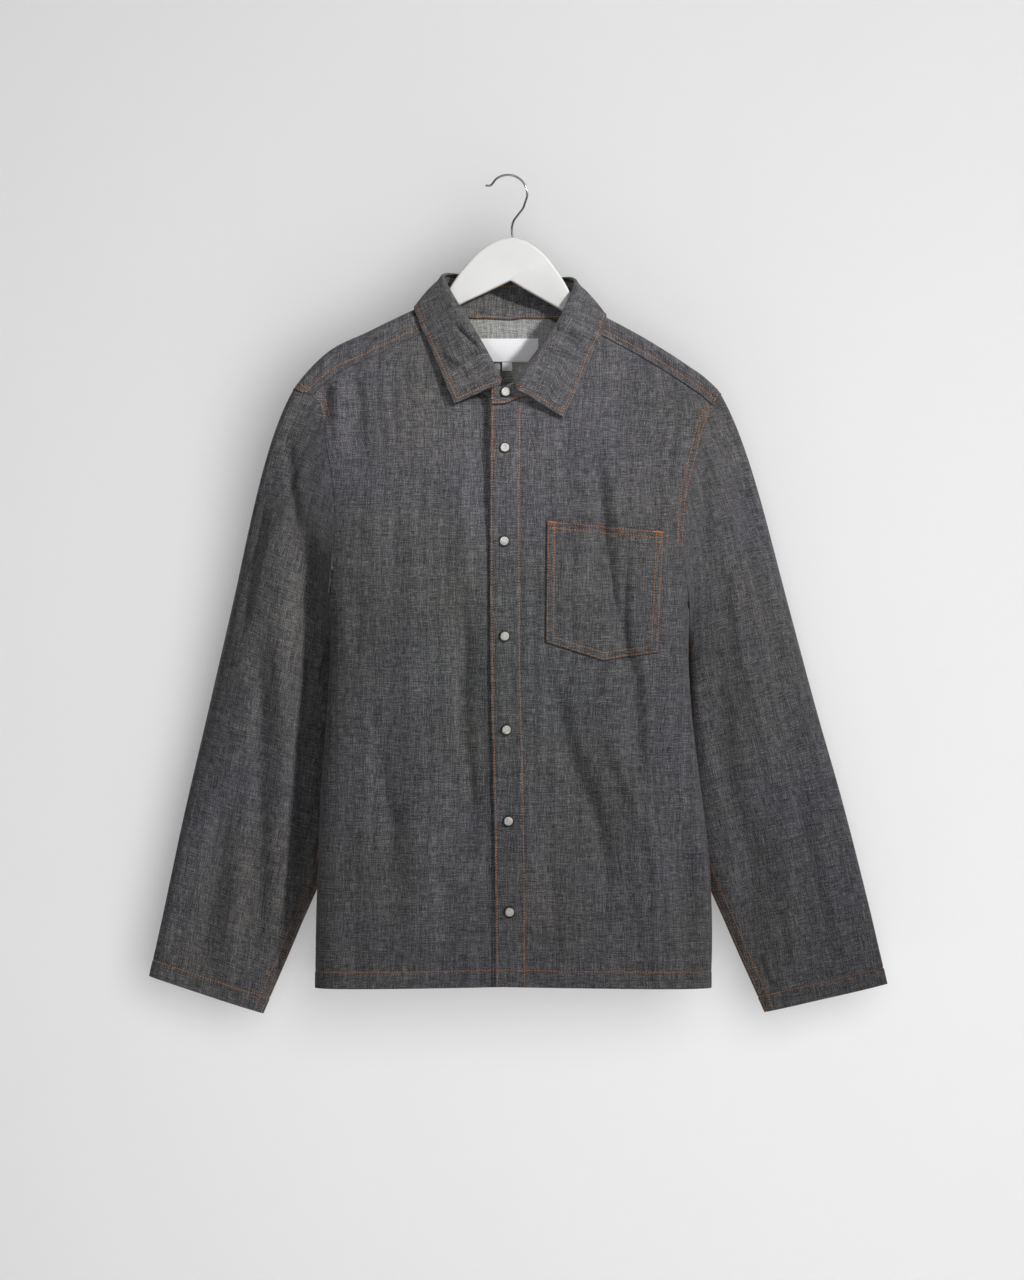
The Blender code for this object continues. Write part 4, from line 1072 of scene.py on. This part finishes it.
def standGrid():
    s = collarSettings
    turns = np.linspace(-0.97, 0.93, 190)
    forward = ease((np.abs(turns) - 0.66) / 0.14)  # 0 behind, where its foot shows inside
    x, drop = neckPoint(turns, lerp(0.0042, -0.0029, forward))
    base = offBody(x, drop, lerp(-0.0017, 0.001, forward))
    top = curve(s["leaf"], (turns + 1) / 2)[:, :3] + (0, 0.0006, -s["belowRoll"])
    lap = s["lap"] * ease((np.abs(turns) - 0.75) / 0.2)
    base[:, 1] += np.where(turns < 0, lap * 0.2, -lap)
    top[:, 1] += np.where(turns < 0, lap, -lap * 0.2)
    along = np.linspace(0.35, 1.0, 22)
    along = 1 - (1 - along) ** 1.15
    tabX = lerp(0.004, -s["tabEnd"], along)
    height = s["tabHeight"] * np.sqrt(1 - np.clip(along - 0.72, 0, None) ** 2 * 5.5)
    front = body("front", 0.0, s["tabFoot"])[1] - s["tabOut"]
    tabBase = np.stack((tabX, np.full(len(tabX), front), np.full(len(tabX), s["tabFoot"])), axis=-1)
    tabTop = tabBase + np.stack((height * 0, np.full(len(tabX), -0.001), height), axis=-1)
    base, top = np.vstack((base, tabBase)), np.vstack((top, tabTop))
    share = fineShares(0.032, 0.0018, 0.006)[:, None, None]
    points = lerp(top[None], base[None], share)[:, ::-1]
    depth = np.linalg.norm(points - points[-1:], axis=-1)
    along = np.arange(points.shape[1])[None, :] * 0.0016
    out = 0.0002 * unevenWave(along, 0.009, 1.2) * hill(depth - 0.002, 0.004)
    return raised(points, out)


def makeStand():
    s = collarSettings
    points = standGrid()
    uv = metricUv(points, points.shape[1] // 2)
    piece = clothPiece("collar_stand", points, uv, s["cloth"], doubledCloth)
    inward = points[:, ::-1]  # the face that shows inside the neck
    end, tab = points.shape[1], 19
    tip = points[:, :tab + 10]
    lines = [levelLine(inward, 0.0022, True, 8, end - 26), levelLine(inward, 0.005, False, 30, end - 40),
             levelLine(tip, 0.0017, True, 1, tab + 8), levelLine(tip, 0.0017, False, 1, tab),
             sideLine(tip, 0.0017, False, 2, len(tip) - 2)]
    sew(piece, lines, 0.00094, s["standCut"])


leafAcross = fineShares(collarSettings["leafLong"], 0.0022, 0.01)
leafDown = fineShares(collarSettings["leafHigh"], 0.0022, 0.009, 0.0012)


def leafGrid():
    s = collarSettings
    turns, down = leafAcross, leafDown
    table = curve(s["leaf"], turns)
    roll = table[:, :3]
    path = unit(np.gradient(table[:, :2], axis=0))
    out = np.stack((-path[:, 1], path[:, 0], path[:, 0] * 0), axis=-1)
    crest = roll + out * 0.0022 + (0, 0, 0.0012)
    fall = roll + out * 0.0052 + (0, 0, -0.003)
    edge = offBody(table[:, 3], table[:, 4], table[:, 5])
    stages = np.stack((roll, crest, fall, lerp(fall, edge, 0.26), lerp(fall, edge, 0.62), edge))
    points = between(stages, down, np.array((0.0, 0.045, 0.11, 0.33, 0.66, 1.0)))[:, ::-1]
    # columns now run to the right as seen from outside, all round the collar
    side = np.minimum(turns, 1 - turns)[::-1][None, :] * s["leafLong"]
    fold, foot = down[:, None] * s["leafHigh"], (1 - down)[:, None] * s["leafHigh"]
    row = np.minimum(side, foot) - s["row"]
    height = s["belly"] * np.sin(np.clip(down, 0, 1) * math.pi)[:, None] * ease(side / 0.02)
    height = height - 0.0005 * hill(row, 0.0013) * ease(fold / 0.006)
    height = height + 0.0003 * unevenWave(side + foot * 0.3, 0.01, 0.2) * hill(row, 0.006) * ease(fold / 0.01)
    front = ease(-points[..., 1] / 0.01) * ease((fold - 0.002) / 0.006)
    height = height + creaseHeight(s["creases"], points[..., 2], points[..., 0]) * front
    return raised(points, height)


def makeLeaf():
    s = collarSettings
    points = leafGrid()
    uv = metricUv(points, points.shape[1] // 2)
    piece = clothPiece("collar_leaf", points, uv, s["cloth"], doubledCloth)
    corner = int(np.searchsorted(leafAcross * s["leafLong"], s["row"]))
    low = int(np.searchsorted(leafDown * s["leafHigh"], s["leafHigh"] - s["row"]))
    lines = [levelLine(points, s["row"], True, corner, points.shape[1] - corner)]
    lines += [sideLine(points, s["row"], fromRight, 5, low) for fromRight in (False, True)]
    sew(piece, lines, 0.00094, s["leafCut"])


makeStand()
makeLeaf()
print("collar made")

# ---- the bare label and the tab inside the back neck
labelSettings = {
    "cloth": 0.0006,
    "label": {"middle": 0.0005, "width": 0.064, "top": -0.174, "height": 0.025, "bow": 0.0012},
    "tab": {"middle": -0.001, "width": 0.0105, "top": -0.1994, "height": 0.009, "bow": 0.0005},
    "inward": 0.002,
    "leastCut": 0.01,
}


def labelMaterial():
    made, tree, shader = newMaterial("label satin", {
        "Roughness": 0.55, "Specular IOR Level": 0.35, "Sheen Weight": 0.2})
    yarn = yarnNoise(tree, (2600, 500, 1))
    colour = ramp(tree, yarn, ((0.25, (0.7, 0.7, 0.72)), (0.75, (0.8, 0.8, 0.82))))
    tree.links.new(colour, shader.inputs["Base Color"])
    relief(tree, shader, yarn, 0.25, 0.0002)
    return made


def makeLabel(name, shape, satin):
    s = labelSettings
    wide, high = shape["width"], shape["height"]
    z = np.linspace(shape["top"], shape["top"] - high, 22)[:, None]
    x = shape["middle"] + np.linspace(wide / 2, -wide / 2, 44)[None, ::-1]
    points = body("back", x, z)
    down, across = (shape["top"] - z) / high, (x - shape["middle"]) / wide * 2
    points[..., 1] -= s["inward"] + shape["bow"] * np.sin(down * math.pi) * (1 - across ** 4)
    piece = clothPiece(name, points, metricUv(points, 0, True), s["cloth"], (satin, satin))


labelSatin = labelMaterial()
makeLabel("neck_label", labelSettings["label"], labelSatin)
makeLabel("size_tab", labelSettings["tab"], labelSatin)
print("labels made")

# ---- snaps: a dark metal ring, its darkness partly painted shade, that holds a pearl dome
snapSettings = {
    "radius": 0.0058,
    "steps": 40,
    "rim": ((0.0043, 0.0014), (0.0046, 0.002), (0.0051, 0.0023), (0.0056, 0.0021), (0.006, 0.0014),
            (0.006, 0.0003), (0.0055, 0.0)),
    "dome": ((0.0047, 0.0015), (0.0045, 0.002), (0.0038, 0.0022), (0.0026, 0.0023), (0.0013, 0.00236),
             (0.0, 0.00238)),
    "inset": 0.0155,
    "top": -0.2345,
    "lower": (-0.2945, -0.394, -0.495, -0.5945, -0.6915, -0.788),
    "tabOut": 0.0016,
    "frontOut": 0.0039,
}
# the ring's metal is real, but its near-black colour is partly painted shade, for the shadow round each cap
rimMetalAndShade = mottled("dark bronze", {"Metallic": 1.0, "Roughness": 0.38}, 900.0, (
    (0.35, (0.04, 0.03, 0.022)), (0.7, (0.13, 0.1, 0.072))))
pearl = mottled("pearl", {
    "Roughness": 0.35, "Specular IOR Level": 0.5, "Coat Weight": 0.3, "Coat Roughness": 0.15}, 520.0, (
    (0.25, (0.22, 0.22, 0.21)), (0.5, (0.42, 0.42, 0.4)), (0.75, (0.66, 0.66, 0.64))), distortion=1.2)


def makeSnap(name, x, y, z, slope):
    made = bmesh.new()
    for index, part in enumerate(("rim", "dome")):
        corners = [made.verts.new((across, 0, high)) for across, high in snapSettings[part]]
        edges = [made.edges.new(pair) for pair in zip(corners, corners[1:])]
        before = set(made.faces)
        bmesh.ops.spin(made, geom=corners + edges, cent=(0, 0, 0), axis=(0, 0, 1), angle=2 * math.pi,
                       steps=snapSettings["steps"], use_merge=True)
        for face in set(made.faces) - before:
            face.material_index = index
    bmesh.ops.remove_doubles(made, verts=made.verts, dist=0.000005)
    bmesh.ops.recalc_face_normals(made, faces=made.faces)
    tilt = Matrix.Rotation(math.radians(90) - math.atan(slope), 4, "X")
    bmesh.ops.transform(made, verts=made.verts, matrix=Matrix.Translation((x, y, z)) @ tilt)
    addPiece(name + "_cap", made, (rimMetalAndShade, pearl), name)


def makeSnaps():
    s = snapSettings
    for number, z in enumerate((s["top"], *s["lower"]), start=1):
        x = float(curve(placketSettings["edge"], z)[0]) + s["inset"]
        if number == 1:  # on the stand's tab
            tab = collarSettings
            y, slope = float(body("front", 0.0, tab["tabFoot"])[1] - tab["tabOut"] - s["tabOut"]), 0.0
        else:
            above, below = (float(body("front", x, z + step)[1]) for step in (s["radius"], -s["radius"]))
            y, slope = (above + below) / 2 - s["frontOut"], (above - below) / (2 * s["radius"])
        makeSnap(f"snap_{number}", x, y, z, slope)


makeSnaps()
print("snaps made")

# ---- the hanger and its hook
hangerSettings = {
    "thick": 0.0095,
    "edge": 0.0024,
    "tilt": math.radians(2.4),
    "top": -0.0663,
    "middle": 0.0045,
    "around": 110,
    "half": (  # x, z from the dome's top to the arm's end and back to the middle
        (0.0, 0.0), (0.0125, -0.0026), (0.0256, -0.0094), (0.035, -0.0168), (0.0455, -0.0285),
        (0.057, -0.044), (0.064, -0.0555), (0.0725, -0.074), (0.084, -0.089), (0.103, -0.101),
        (0.148, -0.1215), (0.185, -0.1445), (0.199, -0.158), (0.205, -0.169), (0.202, -0.178),
        (0.193, -0.176), (0.15, -0.1455), (0.1, -0.109), (0.056, -0.0765), (0.025, -0.06),
        (0.012, -0.0531), (0.0, -0.0467),
    ),
}
satinWhite = mottled("hanger satin white", {
    "Roughness": 0.42, "Specular IOR Level": 0.4, "Coat Weight": 0.1, "Coat Roughness": 0.3}, 14.0, (
    (0.3, (0.57, 0.57, 0.565)), (0.7, (0.62, 0.62, 0.615))), fine=(650.0, 0.12, 0.0002))


def evenly(line, count):  # that many points, evenly along a smooth curve through a line
    run = runOf(line)
    return between(line, np.linspace(0, run[-1], count), run)


def makeHanger():
    s = hangerSettings
    fine = evenly(np.array(s["half"]), s["around"])
    fine[0, 0] = fine[-1, 0] = 0
    outline = np.vstack((fine, fine[-2:0:-1] * (-1, 1)))
    made = bmesh.new()
    ring = bmesh.ops.create_circle(made, segments=len(outline), radius=1, cap_ends=True)["verts"]
    for vert, (x, z) in zip(ring, outline):
        vert.co = (x, z, -s["thick"] / 2)
    lifted = bmesh.ops.extrude_face_region(made, geom=list(made.faces))
    tops = [item for item in lifted["geom"] if isinstance(item, bmesh.types.BMVert)]
    bmesh.ops.translate(made, verts=tops, vec=(0, 0, s["thick"]))
    bmesh.ops.recalc_face_normals(made, faces=made.faces)
    rim = [edge for edge in made.edges if abs(edge.verts[0].co.z - edge.verts[1].co.z) < 1e-6]
    bmesh.ops.bevel(made, geom=rim, offset=s["edge"], segments=4, profile=0.5, affect="EDGES", material=-1)
    stand = Matrix.Translation((s["middle"], 0, s["top"])) @ Matrix.Rotation(s["tilt"], 4, "Y")
    bmesh.ops.transform(made, verts=made.verts, matrix=stand @ Matrix.Rotation(math.radians(90), 4, "X"))
    bmesh.ops.recalc_face_normals(made, faces=made.faces)
    piece = addPiece("white_hanger", made, [satinWhite], "hanger_body")
    piece.data.set_sharp_from_angle(angle=math.radians(38))


hookSettings = {
    "wire": 0.0012,
    "radius": 0.0206,
    "foot": -0.0863,
    "lower": ((0.0046, -0.053), (0.0058, -0.049), (0.0112, -0.0412), (0.0166, -0.0338)),
    "tip": ((-0.0186, -0.01), (-0.0236, -0.0102)),
    "around": 20,
    "along": 150,
}
chrome = mottled("hook chrome", {"Metallic": 1.0, "Roughness": 0.16}, 260.0, (
    (0.3, (0.26, 0.26, 0.28)), (0.7, (0.42, 0.42, 0.44))))


def makeHook():
    s = hookSettings
    route = [(hangerSettings["middle"], s["foot"]), (hangerSettings["middle"], hangerSettings["top"])]
    route += list(s["lower"])
    for angle in np.radians(np.linspace(-28, 152, 9)):
        route.append((s["radius"] * math.cos(angle), s["wire"] - s["radius"] + s["radius"] * math.sin(angle)))
    line = evenly(np.array(route + list(s["tip"])), s["along"])
    line = np.stack((line[:, 0], line[:, 0] * 0, line[:, 1]), axis=-1)
    ahead = unit(np.gradient(line, axis=0))
    across = np.cross(ahead, (0, 1, 0))
    made = bmesh.new()
    rings = []
    # place, share of the radius, and how far past the end, for a rounded end
    ends = [(0, 0.02, -0.7), (0, 0.7, -0.5)] + [(i, 1.0, 0.0) for i in range(s["along"])]
    for i, share, past in ends + [(-1, 0.7, 0.5), (-1, 0.02, 0.7)]:
        ring = bmesh.ops.create_circle(made, segments=s["around"], radius=share * s["wire"])["verts"]
        middle = line[i] + ahead[i] * past * s["wire"]
        for vert in ring:
            vert.co = middle + across[i] * vert.co.x + np.array((0, 1, 0)) * vert.co.y
        rings.append(ring)
    for lower, upper in zip(rings, rings[1:]):
        for k in range(s["around"]):
            n = (k + 1) % s["around"]
            made.faces.new((lower[k], lower[n], upper[n], upper[k]))
    for ring in (rings[0], rings[-1]):
        made.faces.new(ring)
    bmesh.ops.recalc_face_normals(made, faces=made.faces)
    addPiece("wire_hook", made, [chrome], "hanger_hook")


makeHanger()
makeHook()
print("hanger and hook made")

# ---- a pale wall close behind and a pale floor
stageSettings = {
    "wall": 0.115,
    "floor": -1.62,
    "wide": 7.0,
    "colour": (0.8, 0.8, 0.8),
    "world": (1.0, 1.0, 1.0),
    "worldStrength": 0.1,
}


def backdropMaterial():  # seen from its front only, so that other views look through it
    colour = stageSettings["colour"]
    made = mottled("pale backdrop", {"Roughness": 0.95, "Specular IOR Level": 0.1}, 2.0, (
        (0.3, tuple(part * 0.985 for part in colour)), (0.7, colour)), detail=2.0)
    tree = made.node_tree
    both = node(tree, "ShaderNodeMixShader", None, {
        0: node(tree, "ShaderNodeNewGeometry").outputs["Backfacing"],
        1: tree.nodes["Principled BSDF"].outputs[0],
        2: node(tree, "ShaderNodeBsdfTransparent").outputs[0]})
    tree.links.new(both.outputs[0], tree.nodes["Material Output"].inputs["Surface"])
    return made


def makeStage():
    s = stageSettings
    paint = backdropMaterial()
    for name, turn, place in (("wall", math.radians(90), (0, s["wall"], s["floor"] + s["wide"] / 2)),
                              ("floor", 0.0, (0, s["wall"] - s["wide"] / 2, s["floor"]))):
        made = bmesh.new()
        bmesh.ops.create_grid(made, x_segments=1, y_segments=1, size=s["wide"] / 2)
        bmesh.ops.transform(made, verts=made.verts,
                            matrix=Matrix.Translation(place) @ Matrix.Rotation(turn, 4, "X"))
        mesh = bpy.data.meshes.new(name)
        made.to_mesh(mesh)
        made.free()
        mesh.materials.append(paint)
        plane = bpy.data.objects.new(name, mesh)
        bpy.context.scene.collection.objects.link(plane)
        plane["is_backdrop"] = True


# soft studio light: one lamp from the upper right for the shirt, wide ones for the wall
lightSettings = (
    # name, what it lights, place, aim, size, power, colour, spread in degrees, whether it casts shadows
    ("shirt key", "shirt", (3.8, -4.2, 1.9), (-1.3, 0.0, 1.3), 0.7, 81.0, (1.0, 0.995, 0.985), 56, True),
    ("shirt top", "shirt", (0.15, -1.1, 0.45), (0.0, 0.0, -0.25), 0.7, 1.4, (0.99, 0.99, 1.0), 180, True),
    ("shirt fill", "shirt", (-0.6, -3.4, -0.3), (0.0, 0.0, -0.4), 1.8, 9.0, (0.98, 0.985, 1.0), 180, True),
    ("neck light", "shirt", (-0.45, -1.4, 0.05), (0.0, 0.0, -0.27), 0.2, 0.05, (1.0, 1.0, 1.0), 16, True),
    ("wall light", "stage", (0.75, -2.9, -0.3), (0.1, 0.1, -0.5), 2.6, 55.0, (1.0, 1.0, 1.0), 180, True),
    ("wall wash", "stage", (0.75, -2.9, -0.5), (0.1, 0.1, -0.5), 2.6, 35.0, (1.0, 1.0, 1.0), 180, False),
)


def makeLights():
    receivers = {"shirt": bpy.data.collections.new("lit as the shirt"),
                 "stage": bpy.data.collections.new("lit as the stage")}
    for thing in bpy.data.objects:
        if thing.type == "MESH":
            receivers["stage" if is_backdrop(thing) else "shirt"].objects.link(thing)
    for name, lit, place, aim, size, power, colour, spread, shadow in lightSettings:
        lamp = bpy.data.lights.new(name, "AREA")
        lamp.shape = "DISK"
        lamp.size = size
        lamp.energy = power
        lamp.color = colour
        lamp.spread = math.radians(spread)
        lamp.use_shadow = shadow
        light = bpy.data.objects.new(name, lamp)
        bpy.context.scene.collection.objects.link(light)
        light.location = place
        light.rotation_euler = (Vector(aim) - Vector(place)).to_track_quat("-Z", "Y").to_euler()
        light.light_linking.receiver_collection = receivers[lit]
    world = bpy.data.worlds.new("studio")
    bpy.context.scene.world = world
    world.use_nodes = True
    sky = world.node_tree.nodes["Background"]
    sky.inputs["Color"].default_value = (*stageSettings["world"], 1)
    sky.inputs["Strength"].default_value = stageSettings["worldStrength"]
    view = bpy.context.scene.view_settings
    view.view_transform, view.look = "Standard", "None"


makeStage()
makeLights()
print("stage made")
